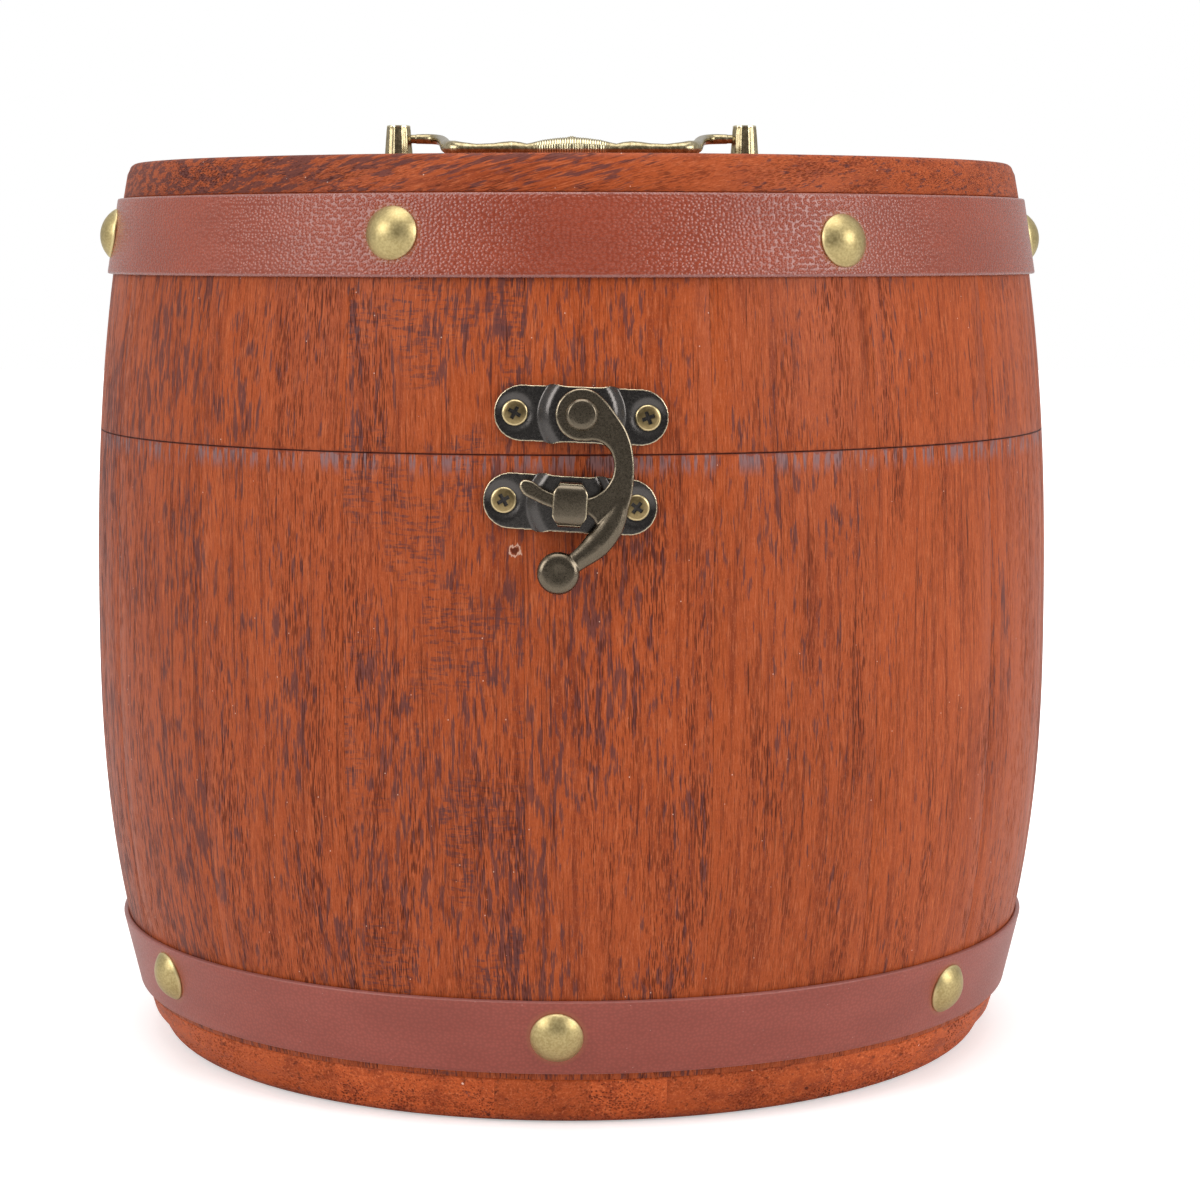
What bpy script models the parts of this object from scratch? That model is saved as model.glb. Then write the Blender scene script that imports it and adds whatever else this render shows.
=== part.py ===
"""Wooden tea barrel: turned staves sawn into a body and a hinged lid.

Metres, +Z up, origin at the middle of the foot. The latch faces -Y.
An azimuth runs round the barrel from the front, positive towards +X.
A wall frame has X to the right, Y up along the wall and Z outward.
"""
import math

import bmesh
import bpy
from mathutils import Matrix, Vector

MM = 0.001

# Barrel shape
HEIGHT = 160 * MM
BULGE_RADIUS = 88 * MM
BULGE_HEIGHT = 76 * MM
LID_EDGE_RADIUS = 81 * MM
FOOT_EDGE_RADIUS = 77.4 * MM
BULGE_POWER = 2.4
LID_EDGE_ROUND = 1.4 * MM
FOOT_EDGE_ROUND = 4.0 * MM

# Barrel construction
LID_DEPTH = 47.7 * MM
SEAM_GAP = 0.4 * MM
LID_BOARD_THICKNESS = 6.2 * MM
BOTTOM_BOARD_THICKNESS = 8.7 * MM
STAVE_COUNT = 18
STAVE_WALL = 6.5 * MM
FIRST_JOINT = math.radians(-25)
JOINT_GROOVE = 0.3 * MM
FIT_GAP = 0.3 * MM

# Straps and tacks: each tack is an azimuth in degrees and a rise from the strap's middle
STRAP_WIDTH = 12.8 * MM
STRAP_THICKNESS = 0.7 * MM
LID_STRAP_INSET = 7.0 * MM
BODY_STRAP_INSET = 10.2 * MM
STRAP_LAP = 16 * MM
TACK_HEAD_RADIUS = 4.4 * MM
TACK_HEAD_HEIGHT = 2.3 * MM
TACK_SHANK_RADIUS = 0.8 * MM
TACK_SHANK_LENGTH = 5.5 * MM
LID_TACKS = ((-20.0, 0.7 * MM), (31.5, -0.5 * MM), (89.0, 0.4 * MM), (134.0, 0.0),
             (-174.0, 0.0), (-123.0, 0.0), (-78.0, 0.9 * MM))
BODY_TACKS = ((-58.5, 0.9 * MM), (-1.8, 0.1 * MM), (51.5, 0.4 * MM), (101.5, 0.0),
              (151.5, 0.0), (-158.5, 0.0), (-108.5, 0.0))

# Screws
SCREW_HEAD_RADIUS = 2.1 * MM
SCREW_CROWN = 0.25 * MM
SCREW_SHANK_RADIUS = 1.0 * MM
SCREW_LENGTH = 8.5 * MM
RECESS_LENGTH = 2.4 * MM
RECESS_WIDTH = 0.55 * MM
RECESS_DEPTH = 0.7 * MM
PILOT_CLEARANCE = 0.15 * MM

# Swing latch
LATCH_X = 1.5 * MM
LATCH_RISE = 6.3 * MM
LATCH_TILT = math.radians(2.4)
KEEPER_X = -0.3 * MM
KEEPER_DROP = 7.7 * MM
KEEPER_TILT = math.radians(3.4)
PLATE_LENGTH = 27.6 * MM
PLATE_WIDTH = 8.9 * MM
PLATE_THICKNESS = 0.8 * MM
PLATE_SCREW_SPACING = 21 * MM
HUMP_RISE = 1.5 * MM
HUMP_TOP_WIDTH = 8.8 * MM
HUMP_FOOT_WIDTH = 12.4 * MM
HOOK_GAP = 0.2 * MM
HOOK_THICKNESS = 1.4 * MM
HOOK_EYE_RADIUS = 4.0 * MM
TONGUE_RADIUS = 14.25 * MM
TONGUE_WIDTH = 1.9 * MM
TONGUE_REACH = math.radians(40)
KNOB_X = -3.8 * MM
KNOB_DROP = 24.9 * MM
KNOB_RADIUS = 3.4 * MM
KNOB_HALF_THICKNESS = 1.35 * MM
KNOB_LIFT = 1.1 * MM
RIVET_SHANK_RADIUS = 1.1 * MM
RIVET_HEAD_RADIUS = 2.6 * MM
RIVET_HEAD_HEIGHT = 1.1 * MM
RIVET_TAIL_RADIUS = 1.8 * MM
RIVET_TAIL_HEIGHT = 0.6 * MM
LOOP_WIDTH = 5.5 * MM
LOOP_SPAN = 7.1 * MM
LOOP_THICKNESS = 1.0 * MM
LOOP_CORNER = 1.6 * MM
LOOP_CLEARANCE = 0.8 * MM

# Handle
HANDLE_SPAN = 64 * MM
POST_HEIGHT = 7.1 * MM
POST_FOOT_RADIUS = 2.75 * MM
POST_TOP_RADIUS = 2.2 * MM
POST_FLUTES = 10
POST_FLUTE_DEPTH = 0.25 * MM
BAIL_AXIS_HEIGHT = 4.9 * MM
BAIL_PIN_RADIUS = 0.8 * MM
BAIL_PIN_CLEARANCE = 0.1 * MM
BAIL_PIN_STOP = 0.9 * MM
BAIL_REACH = 20 * MM
BAIL_GRIP_RADIUS = 2.2 * MM
POST_SCREW_BITE = 2.5 * MM
POST_SCREW_HEAD_HEIGHT = 1.6 * MM

# Hinge
HINGE_LENGTH = 26 * MM
LEAF_WIDTH = 10 * MM
LEAF_THICKNESS = 0.9 * MM
KNUCKLE_RADIUS = 1.6 * MM
HINGE_PIN_RADIUS = 0.75 * MM
HINGE_PIN_CLEARANCE = 0.1 * MM
HINGE_PIN_HEAD = 0.5 * MM
HINGE_SCREW_SPACING = 19 * MM
HINGE_SCREW_OFFSET = 6 * MM

# Facets
BOARD_STEPS = 54
STAVE_STEPS = 3
BODY_ROWS = 10
LID_ROWS = 5
STRAP_COLUMNS = 64
PLATE_COLUMNS = 26
TURNED_STEPS = 16
SCREW_STEPS = 12
TACK_STEPS = 12
CUTTER_STEPS = 16
DRILL_STEPS = 8
SHARP_ANGLE = math.radians(30)

# Levels that follow from the sizes above
SEAM_HEIGHT = HEIGHT - LID_DEPTH
STAVE_ANGLE = 2 * math.pi / STAVE_COUNT
BODY_STAVE_LOW = BOTTOM_BOARD_THICKNESS + FIT_GAP
BODY_STAVE_HIGH = SEAM_HEIGHT - SEAM_GAP / 2
LID_STAVE_LOW = SEAM_HEIGHT + SEAM_GAP / 2
LID_STAVE_HIGH = HEIGHT - LID_BOARD_THICKNESS - FIT_GAP
PLATE_FRONT = FIT_GAP + PLATE_THICKNESS
HUMP_FRONT = PLATE_FRONT + HUMP_RISE
HUMP_BACK = FIT_GAP + HUMP_RISE
HOOK_BACK = HUMP_FRONT + HOOK_GAP
HOOK_FRONT = HOOK_BACK + HOOK_THICKNESS

for old in list(bpy.data.objects):
    bpy.data.objects.remove(old, do_unlink=True)

PARTS = bpy.data.collections.new("tea_barrel")
CUTTERS = bpy.data.collections.new("cutters")
bpy.context.scene.collection.children.link(PARTS)
bpy.context.scene.collection.children.link(CUTTERS)


def barrel_radius(z):
    """Outer radius of the turned barrel at a height."""
    if z > BULGE_HEIGHT:
        reach = HEIGHT - BULGE_HEIGHT
        end = LID_EDGE_RADIUS
    else:
        reach = BULGE_HEIGHT
        end = FOOT_EDGE_RADIUS
    share = abs(z - BULGE_HEIGHT) / reach
    return BULGE_RADIUS - (BULGE_RADIUS - end) * share ** BULGE_POWER


def wall_frame(azimuth, z, radius=None, slope=None):
    """Frame on the wall at an azimuth and a height."""
    if radius is None:
        radius = barrel_radius(z)
    if slope is None:
        slope = (barrel_radius(z + 0.5 * MM) - barrel_radius(z - 0.5 * MM)) / MM
    out = Vector((math.sin(azimuth), -math.cos(azimuth), 0))
    right = Vector((math.cos(azimuth), math.sin(azimuth), 0))
    up = (out * slope + Vector((0, 0, 1))).normalized()
    frame = Matrix((right, up, right.cross(up))).transposed().to_4x4()
    frame.translation = out * radius + Vector((0, 0, z))
    return frame


def material(name, colour, metallic, roughness):
    """One plain Principled material."""
    made = bpy.data.materials.new(name)
    made.use_nodes = True
    shader = made.node_tree.nodes["Principled BSDF"]
    shader.inputs["Base Color"].default_value = (*colour, 1)
    shader.inputs["Metallic"].default_value = metallic
    shader.inputs["Roughness"].default_value = roughness
    return made


STAVE_WOOD = material("stained_wood", (0.38, 0.075, 0.026), 0, 0.45)
BOARD_WOOD = material("stained_end_wood", (0.30, 0.06, 0.022), 0, 0.5)
LEATHER = material("brown_leather", (0.24, 0.058, 0.04), 0, 0.42)
TACK_BRASS = material("antique_brass", (0.40, 0.30, 0.10), 1, 0.35)
LATCH_BRONZE = material("dark_bronze", (0.10, 0.08, 0.06), 1, 0.4)
SCREW_BRASS = material("screw_brass", (0.32, 0.22, 0.08), 1, 0.38)
HANDLE_BRASS = material("pale_brass", (0.46, 0.38, 0.2), 1, 0.35)


def add(name, data, paint, matrix=None, parent=None):
    """Put a mesh into the part as one named piece."""
    piece = bpy.data.objects.new(name, data)
    PARTS.objects.link(piece)
    if not data.materials:
        data.materials.append(paint)
    data.shade_smooth()
    data.set_sharp_from_angle(angle=SHARP_ANGLE)
    if matrix is not None:
        piece.matrix_basis = matrix
    if parent is not None:
        piece.parent = parent
        piece.matrix_parent_inverse = parent.matrix_basis.inverted()
    return piece


def add_cutter(name, data, matrix):
    """Put a mesh beside the part as a hidden tool for a Boolean."""
    tool = bpy.data.objects.new(name, data)
    CUTTERS.objects.link(tool)
    tool.matrix_basis = matrix
    tool.hide_render = True
    tool.display_type = "WIRE"
    return tool


def boolean(piece, tool, operation="DIFFERENCE"):
    """Cut a piece with a tool, or join the tool to it."""
    step = piece.modifiers.new(tool.name, "BOOLEAN")
    step.operation = operation
    step.solver = "EXACT"
    step.object = tool


def finish_mesh(name, bm):
    """Turn a bmesh into a mesh with outward faces."""
    bmesh.ops.recalc_face_normals(bm, faces=bm.faces)
    mesh = bpy.data.meshes.new(name)
    bm.to_mesh(mesh)
    bm.free()
    return mesh


def cylinder(name, foot_radius, top_radius, low, high, steps=CUTTER_STEPS):
    """A closed cone or cylinder along Z."""
    bm = bmesh.new()
    place = Matrix.Translation((0, 0, (low + high) / 2))
    bmesh.ops.create_cone(bm, cap_ends=True, segments=steps, radius1=foot_radius,
                          radius2=top_radius, depth=high - low, matrix=place)
    return finish_mesh(name, bm)


def box(name, low, high):
    """A closed block between two corners."""
    bm = bmesh.new()
    low = Vector(low)
    high = Vector(high)
    size = Matrix.Diagonal((*(high - low), 1))
    bmesh.ops.create_cube(bm, size=1, matrix=Matrix.Translation((low + high) / 2) @ size)
    return finish_mesh(name, bm)


def baked(data, modify):
    """Mesh of a curve or profile after the modifiers that modify() adds."""
    holder = bpy.data.objects.new("holder", data)
    PARTS.objects.link(holder)
    modify(holder)
    graph = bpy.context.evaluated_depsgraph_get()
    mesh = bpy.data.meshes.new_from_object(holder.evaluated_get(graph))
    bpy.data.objects.remove(holder, do_unlink=True)
    bm = bmesh.new()
    bm.from_mesh(mesh)
    bmesh.ops.remove_doubles(bm, verts=bm.verts, dist=0.001 * MM)
    bmesh.ops.recalc_face_normals(bm, faces=bm.faces)
    bm.to_mesh(mesh)
    bm.free()
    return mesh


def turn(holder, steps):
    """Screw modifier that turns a profile once round Z."""
    screw = holder.modifiers.new("turn", "SCREW")
    screw.steps = steps
    screw.render_steps = steps
    screw.use_merge_vertices = True
    screw.merge_threshold = 0.01 * MM


def turned(name, profile, steps=TURNED_STEPS):
    """Turned solid from points (radius, z) that run down its outer side."""
    outline = bpy.data.meshes.new(name)
    edges = [(i, i + 1) for i in range(len(profile) - 1)]
    outline.from_pydata([(r, 0, z) for r, z in profile], edges, [])
    return baked(outline, lambda holder: turn(holder, steps))


def arc(centre, radius, start, end, count):
    """Points of a circular arc, angles in degrees."""
    points = []
    for i in range(count + 1):
        angle = math.radians(start + (end - start) * i / count)
        points.append((centre[0] + radius * math.cos(angle), centre[1] + radius * math.sin(angle)))
    return points


# Boards: full-width discs whose edges carry on the turned outline
def board_side(high, low, rows):
    """Points down the turned edge of a board."""
    points = []
    for i in range(rows + 1):
        z = high + (low - high) * i / rows
        points.append((barrel_radius(z), z))
    return points


LID_BOARD_LOW = HEIGHT - LID_BOARD_THICKNESS
lid_rim = arc((LID_EDGE_RADIUS - LID_EDGE_ROUND, HEIGHT - LID_EDGE_ROUND), LID_EDGE_ROUND, 90, 15, 3)
lid_profile = [(0, HEIGHT)] + lid_rim
lid_profile += board_side(HEIGHT - 1.2 * LID_EDGE_ROUND, LID_BOARD_LOW, 2) + [(0, LID_BOARD_LOW)]

foot_rim = arc((FOOT_EDGE_RADIUS - FOOT_EDGE_ROUND, FOOT_EDGE_ROUND), FOOT_EDGE_ROUND, -15, -90, 4)
foot_profile = [(0, BOTTOM_BOARD_THICKNESS)]
foot_profile += board_side(BOTTOM_BOARD_THICKNESS, 1.2 * FOOT_EDGE_ROUND, 2) + foot_rim + [(0, 0)]

add("bottom_board", turned("bottom_board", foot_profile, BOARD_STEPS), BOARD_WOOD)

# Hinge frame at the back: the leaves lie in a flat seat pared across the staves
HINGE_FRAME = wall_frame(math.pi, SEAM_HEIGHT)
SEAT_HALF_LENGTH = HINGE_LENGTH / 2 + FIT_GAP
SEAM_RADIUS = barrel_radius(SEAM_HEIGHT)
SEAT_DEPTH = SEAM_RADIUS - math.sqrt(SEAM_RADIUS ** 2 - SEAT_HALF_LENGTH ** 2)
LEAF_BACK = FIT_GAP - SEAT_DEPTH
LEAF_FRONT = LEAF_BACK + LEAF_THICKNESS
HINGE_AXIS = HINGE_FRAME @ Matrix.Translation((0, 0, LEAF_BACK + KNUCKLE_RADIUS))

lid_axis = bpy.data.objects.new("lid_hinge_axis", None)
PARTS.objects.link(lid_axis)
lid_axis.matrix_basis = HINGE_AXIS

lid_board = add("lid_board", turned("lid_board", lid_profile, BOARD_STEPS), BOARD_WOOD, parent=lid_axis)


# Staves: turned outside, flat inside
STAVE_APOTHEM = min(barrel_radius(BODY_STAVE_LOW), barrel_radius(LID_STAVE_HIGH)) - STAVE_WALL


def stave_profile(low, high, rows):
    """Section of the wall: down the turned outside, up the straight inside."""
    return board_side(high, low, rows) + [(STAVE_APOTHEM, low), (STAVE_APOTHEM, high)]


def spun_wall(profile, start, angle, steps):
    """Wall section swept round Z from a start azimuth."""
    bm = bmesh.new()
    corners = [bm.verts.new((r * math.sin(start), -r * math.cos(start), z)) for r, z in profile]
    section = bm.faces.new(corners)
    geometry = [section, *section.edges, *section.verts]
    bmesh.ops.spin(bm, geom=geometry, cent=(0, 0, 0), axis=(0, 0, 1), angle=angle, steps=steps)
    bmesh.ops.remove_doubles(bm, verts=bm.verts, dist=0.001 * MM)
    return bm


def flatten_inside(bm, shift):
    """Give the inner corners one flat for each stave; shift moves an azimuth to its stave's middle."""
    for corner in bm.verts:
        radius = math.hypot(corner.co.x, corner.co.y)
        if radius < STAVE_APOTHEM + 0.1 * MM:
            scale = STAVE_APOTHEM / math.cos(shift(math.atan2(corner.co.x, -corner.co.y))) / radius
            corner.co.x *= scale
            corner.co.y *= scale


body_span = STAVE_ANGLE - FIT_GAP / BULGE_RADIUS
body_section = stave_profile(BODY_STAVE_LOW, BODY_STAVE_HIGH, BODY_ROWS)
stave_bm = spun_wall(body_section, -body_span / 2, body_span, STAVE_STEPS)
flatten_inside(stave_bm, lambda azimuth: azimuth)
stave_mesh = finish_mesh("body_stave", stave_bm)

body_staves = []
for i in range(STAVE_COUNT):
    middle = FIRST_JOINT + (i + 0.5) * STAVE_ANGLE
    stave = add(f"body_stave_{i + 1:02d}", stave_mesh, STAVE_WOOD, Matrix.Rotation(middle, 4, "Z"))
    body_staves.append((stave, middle))

# Lid ring: the same staves above the seam, kept as one piece with a groove at each joint
COLUMNS_PER_STAVE = 5
GROOVE_ANGLE = JOINT_GROOVE / SEAM_RADIUS
column_places = (0, GROOVE_ANGLE, STAVE_ANGLE / 3, STAVE_ANGLE * 2 / 3, STAVE_ANGLE - GROOVE_ANGLE)


def stave_offset(azimuth):
    """Azimuth measured from the middle of the stave it lies on."""
    return (azimuth - FIRST_JOINT) % STAVE_ANGLE - STAVE_ANGLE / 2


lid_section = stave_profile(LID_STAVE_LOW, LID_STAVE_HIGH, LID_ROWS)
ring_bm = spun_wall(lid_section, FIRST_JOINT, 2 * math.pi, STAVE_COUNT * COLUMNS_PER_STAVE)
inner_faces = [face for face in ring_bm.faces if len(face.verts) > 4]
bmesh.ops.delete(ring_bm, geom=inner_faces, context="FACES_ONLY")
for corner in ring_bm.verts:
    radius = math.hypot(corner.co.x, corner.co.y)
    turn_share = (math.atan2(corner.co.x, -corner.co.y) - FIRST_JOINT) % (2 * math.pi) / STAVE_ANGLE
    column = round(turn_share * COLUMNS_PER_STAVE)
    stave_index, place = divmod(column, COLUMNS_PER_STAVE)
    azimuth = FIRST_JOINT + stave_index * STAVE_ANGLE + column_places[place]
    if place == 0 and radius > STAVE_APOTHEM + 0.1 * MM:
        radius -= JOINT_GROOVE
    corner.co.x = radius * math.sin(azimuth)
    corner.co.y = -radius * math.cos(azimuth)
flatten_inside(ring_bm, stave_offset)
lid_ring = add("lid_stave_ring", finish_mesh("lid_stave_ring", ring_bm), STAVE_WOOD, parent=lid_axis)


def staves_at(azimuth, half_width):
    """Body staves that a cut at an azimuth reaches."""
    reach = body_span / 2 + half_width / BULGE_RADIUS
    found = []
    for stave, middle in body_staves:
        apart = (azimuth - middle + math.pi) % (2 * math.pi) - math.pi
        if abs(apart) < reach:
            found.append(stave)
    return found


# Straps: flat strips wrapped round the barrel, the ends lapped at the back under a tack
def sheet(name, columns, point):
    """Open grid whose point at the shares (s, t) along and across is point(s, t)."""
    bm = bmesh.new()
    bmesh.ops.create_grid(bm, x_segments=columns, y_segments=1, size=0.5)
    for corner in bm.verts:
        corner.co = point(corner.co.x + 0.5, corner.co.y + 0.5)
    bmesh.ops.remove_doubles(bm, verts=bm.verts, dist=0.001 * MM)
    mesh = bpy.data.meshes.new(name)
    bm.to_mesh(mesh)
    bm.free()
    return mesh


def thicken(piece, thickness):
    """Give an open sheet its thickness on the outer side."""
    solid = piece.modifiers.new("thickness", "SOLIDIFY")
    solid.thickness = thickness
    solid.offset = 1
    solid.use_even_offset = True


def smooth(share):
    """Smooth step from 0 to 1."""
    share = min(max(share, 0), 1)
    return share * share * (3 - 2 * share)


LAP_RISE = STRAP_THICKNESS + FIT_GAP
TACK_RIM = 0.2 * MM
TACK_DOME_RADIUS = (TACK_HEAD_RADIUS ** 2 + TACK_HEAD_HEIGHT ** 2) / (2 * TACK_HEAD_HEIGHT)
tack_profile = []
for step in range(4):
    reach = TACK_HEAD_RADIUS * math.sin(math.pi / 2 * step / 3)
    drop = TACK_DOME_RADIUS - math.sqrt(TACK_DOME_RADIUS ** 2 - reach ** 2)
    tack_profile.append((reach, TACK_HEAD_HEIGHT + TACK_RIM - drop))
tack_profile += [(TACK_HEAD_RADIUS, 0), (TACK_SHANK_RADIUS, 0)]
tack_profile += [(TACK_SHANK_RADIUS, -TACK_SHANK_LENGTH + 2 * TACK_SHANK_RADIUS), (0, -TACK_SHANK_LENGTH)]
tack_mesh = turned("tack", tack_profile, TACK_STEPS)
tack_hole = cylinder("tack_hole", TACK_SHANK_RADIUS + PILOT_CLEARANCE,
                     TACK_SHANK_RADIUS + PILOT_CLEARANCE, -TACK_SHANK_LENGTH - FIT_GAP, FIT_GAP + 1 * MM,
                     DRILL_STEPS)


def strap(name, low, tacks, lap_tack, parent, drilled):
    """A strap from a lower height, with its tacks, and holes for them in the wood behind."""
    high = low + STRAP_WIDTH
    low_radius = barrel_radius(low) + FIT_GAP
    high_radius = barrel_radius(high) + FIT_GAP
    lap_angle = STRAP_LAP / low_radius
    lap_start = math.radians(tacks[lap_tack][0]) - lap_angle / 2

    def point(s, t):
        angle = s * (2 * math.pi + lap_angle)
        rise = LAP_RISE * smooth(1 - (2 * math.pi - angle) / lap_angle)
        radius = low_radius + (high_radius - low_radius) * t + rise
        azimuth = lap_start + angle
        return (radius * math.sin(azimuth), -radius * math.cos(azimuth), low + STRAP_WIDTH * t)

    band = add(name, sheet(name, STRAP_COLUMNS, point), LEATHER, parent=parent)
    thicken(band, STRAP_THICKNESS)
    slope = (high_radius - low_radius) / STRAP_WIDTH
    for i, (degrees, rise) in enumerate(tacks):
        azimuth = math.radians(degrees)
        z = (low + high) / 2 + rise
        outside = (low_radius + high_radius) / 2 + slope * rise + STRAP_THICKNESS * math.hypot(1, slope)
        if i == lap_tack:
            outside += LAP_RISE
        place = wall_frame(azimuth, z, outside + FIT_GAP / 2, slope)
        tool = add_cutter(f"{name}_hole_{i + 1}", tack_hole, place)
        add(f"{name}_tack_{i + 1}", tack_mesh, TACK_BRASS, place, parent)
        boolean(band, tool)
        for wood in drilled(azimuth):
            boolean(wood, tool)


strap("body_strap", BODY_STRAP_INSET, BODY_TACKS, 5, None,
      lambda azimuth: staves_at(azimuth, TACK_SHANK_RADIUS))
strap("lid_strap", HEIGHT - LID_STRAP_INSET - STRAP_WIDTH, LID_TACKS, 4, lid_axis,
      lambda azimuth: [lid_ring])

# Countersunk cross-head screw, its flat top at Z = 0, and the holes for it
SCREW_HEAD_HEIGHT = SCREW_HEAD_RADIUS - SCREW_SHANK_RADIUS
screw_profile = [(0, SCREW_CROWN), (SCREW_HEAD_RADIUS * 0.6, SCREW_CROWN * 0.7), (SCREW_HEAD_RADIUS, 0),
                 (SCREW_SHANK_RADIUS, -SCREW_HEAD_HEIGHT),
                 (SCREW_SHANK_RADIUS, -SCREW_LENGTH + 2 * SCREW_SHANK_RADIUS), (0, -SCREW_LENGTH)]
recess_long = box("recess_long", (-RECESS_LENGTH / 2, -RECESS_WIDTH / 2, SCREW_CROWN - RECESS_DEPTH),
                  (RECESS_LENGTH / 2, RECESS_WIDTH / 2, SCREW_CROWN + FIT_GAP))
recess_tools = (add_cutter("recess_a", recess_long, Matrix()),
                add_cutter("recess_b", recess_long, Matrix.Rotation(math.pi / 2, 4, "Z")))


def cross_recess(holder):
    """Cut the two slots of a cross recess."""
    for tool in recess_tools:
        boolean(holder, tool)


screw_mesh = baked(turned("screw", screw_profile, SCREW_STEPS), cross_recess)
pilot = SCREW_SHANK_RADIUS + PILOT_CLEARANCE
pilot_hole = cylinder("pilot_hole", pilot, pilot, -SCREW_LENGTH - FIT_GAP, 0, DRILL_STEPS)
sink_foot = SCREW_SHANK_RADIUS + PILOT_CLEARANCE
sink_reach = SCREW_HEAD_HEIGHT + 2 * FIT_GAP
sink_hole = cylinder("sink_hole", sink_foot, sink_foot + sink_reach, -SCREW_HEAD_HEIGHT, 2 * FIT_GAP)


def fasten(name, place, angle, plate, woods, parent):
    """A screw through a plate into the wood; place has Z = 0 at the plate's front."""
    place = place @ Matrix.Rotation(math.radians(angle), 4, "Z")
    add(name, screw_mesh, SCREW_BRASS, place, parent)
    boolean(plate, add_cutter(name + "_sink", sink_hole, place))
    tool = add_cutter(name + "_pilot", pilot_hole, place)
    for wood in woods:
        boolean(wood, tool)


# Latch plates: stadium sheets with a pressed hump, wrapped to the wall
def wrap(radius, tilt, u, w, n):
    """Point of a plate that is turned by a tilt and wrapped to a wall of that radius."""
    across = u * math.cos(tilt) + w * math.sin(tilt)
    up = w * math.cos(tilt) - u * math.sin(tilt)
    angle = across / radius
    return Vector(((radius + n) * math.sin(angle), up, (radius + n) * math.cos(angle) - radius))


def plate_point(radius, tilt):
    """Point function of a plate's back."""
    def point(s, t):
        u = -PLATE_LENGTH / 2 * math.cos(math.pi * s)
        over = max(0, abs(u) - (PLATE_LENGTH - PLATE_WIDTH) / 2)
        half = math.sqrt(max(0, (PLATE_WIDTH / 2) ** 2 - over ** 2))
        flank = (HUMP_FOOT_WIDTH / 2 - abs(u)) / (HUMP_FOOT_WIDTH / 2 - HUMP_TOP_WIDTH / 2)
        return wrap(radius, tilt, u, (2 * t - 1) * half, FIT_GAP + HUMP_RISE * smooth(flank))
    return point


def plate_screw_place(frame, radius, tilt, side):
    """Frame of a plate's screw on its left (-1) or right (1) ear."""
    spot = wrap(radius, tilt, side * PLATE_SCREW_SPACING / 2, 0, PLATE_FRONT)
    lean = Matrix.Rotation(side * PLATE_SCREW_SPACING / 2 / radius, 4, "Y")
    return frame @ Matrix.Translation(spot) @ lean


latch_z = SEAM_HEIGHT + LATCH_RISE
latch_radius = barrel_radius(latch_z)
LATCH_FRAME = wall_frame(math.asin(LATCH_X / latch_radius), latch_z)
latch_sheet = sheet("latch_plate", PLATE_COLUMNS, plate_point(latch_radius, LATCH_TILT))
latch_plate = add("latch_plate", latch_sheet, LATCH_BRONZE, LATCH_FRAME, lid_axis)
thicken(latch_plate, PLATE_THICKNESS)
for side, word, angle in ((-1, "left", 40), (1, "right", 15)):
    fasten(f"latch_screw_{word}", plate_screw_place(LATCH_FRAME, latch_radius, LATCH_TILT, side),
           angle, latch_plate, [lid_ring], lid_axis)

keeper_z = SEAM_HEIGHT - KEEPER_DROP
keeper_radius = barrel_radius(keeper_z)
KEEPER_FRAME = wall_frame(math.asin(KEEPER_X / keeper_radius), keeper_z)
keeper_sheet = sheet("keeper_plate", PLATE_COLUMNS, plate_point(keeper_radius, KEEPER_TILT))
keeper_plate = add("keeper_plate", keeper_sheet, LATCH_BRONZE, KEEPER_FRAME)
thicken(keeper_plate, PLATE_THICKNESS)
for side, word, angle in ((-1, "left", 10), (1, "right", 50)):
    place = plate_screw_place(KEEPER_FRAME, keeper_radius, KEEPER_TILT, side)
    azimuth = math.atan2(place.translation.x, -place.translation.y)
    fasten(f"keeper_screw_{word}", place, angle, keeper_plate,
           staves_at(azimuth, SCREW_SHANK_RADIUS), None)

# Pivot rivet, and its holes in the latch plate and the hook
rivet_low = HUMP_BACK - PILOT_CLEARANCE - RIVET_TAIL_HEIGHT
rivet_seat = HOOK_FRONT + PILOT_CLEARANCE
rivet_profile = [(0, rivet_seat + RIVET_HEAD_HEIGHT)]
rivet_profile += [(RIVET_HEAD_RADIUS * 0.55, rivet_seat + RIVET_HEAD_HEIGHT * 0.9),
                  (RIVET_HEAD_RADIUS * 0.88, rivet_seat + RIVET_HEAD_HEIGHT * 0.6),
                  (RIVET_HEAD_RADIUS, rivet_seat + RIVET_HEAD_HEIGHT * 0.2),
                  (RIVET_HEAD_RADIUS, rivet_seat), (RIVET_SHANK_RADIUS, rivet_seat),
                  (RIVET_SHANK_RADIUS, rivet_low + RIVET_TAIL_HEIGHT),
                  (RIVET_TAIL_RADIUS, rivet_low + RIVET_TAIL_HEIGHT),
                  (RIVET_TAIL_RADIUS, rivet_low), (0, rivet_low)]
add("latch_rivet", turned("latch_rivet", rivet_profile), LATCH_BRONZE, LATCH_FRAME, lid_axis)
rivet_bore = RIVET_SHANK_RADIUS + PILOT_CLEARANCE
rivet_hole = add_cutter("rivet_hole", cylinder("rivet_hole", rivet_bore, rivet_bore, 0, 2 * HOOK_FRONT),
                        LATCH_FRAME)
boolean(latch_plate, rivet_hole)


# Hook: a flat blank with a round eye and a curved tongue, joined to a tail and a thumb knob
def tongue_point(radius, angle):
    """Point at an angle left of straight below the pivot."""
    return (-radius * math.sin(angle), -radius * math.cos(angle))


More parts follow.
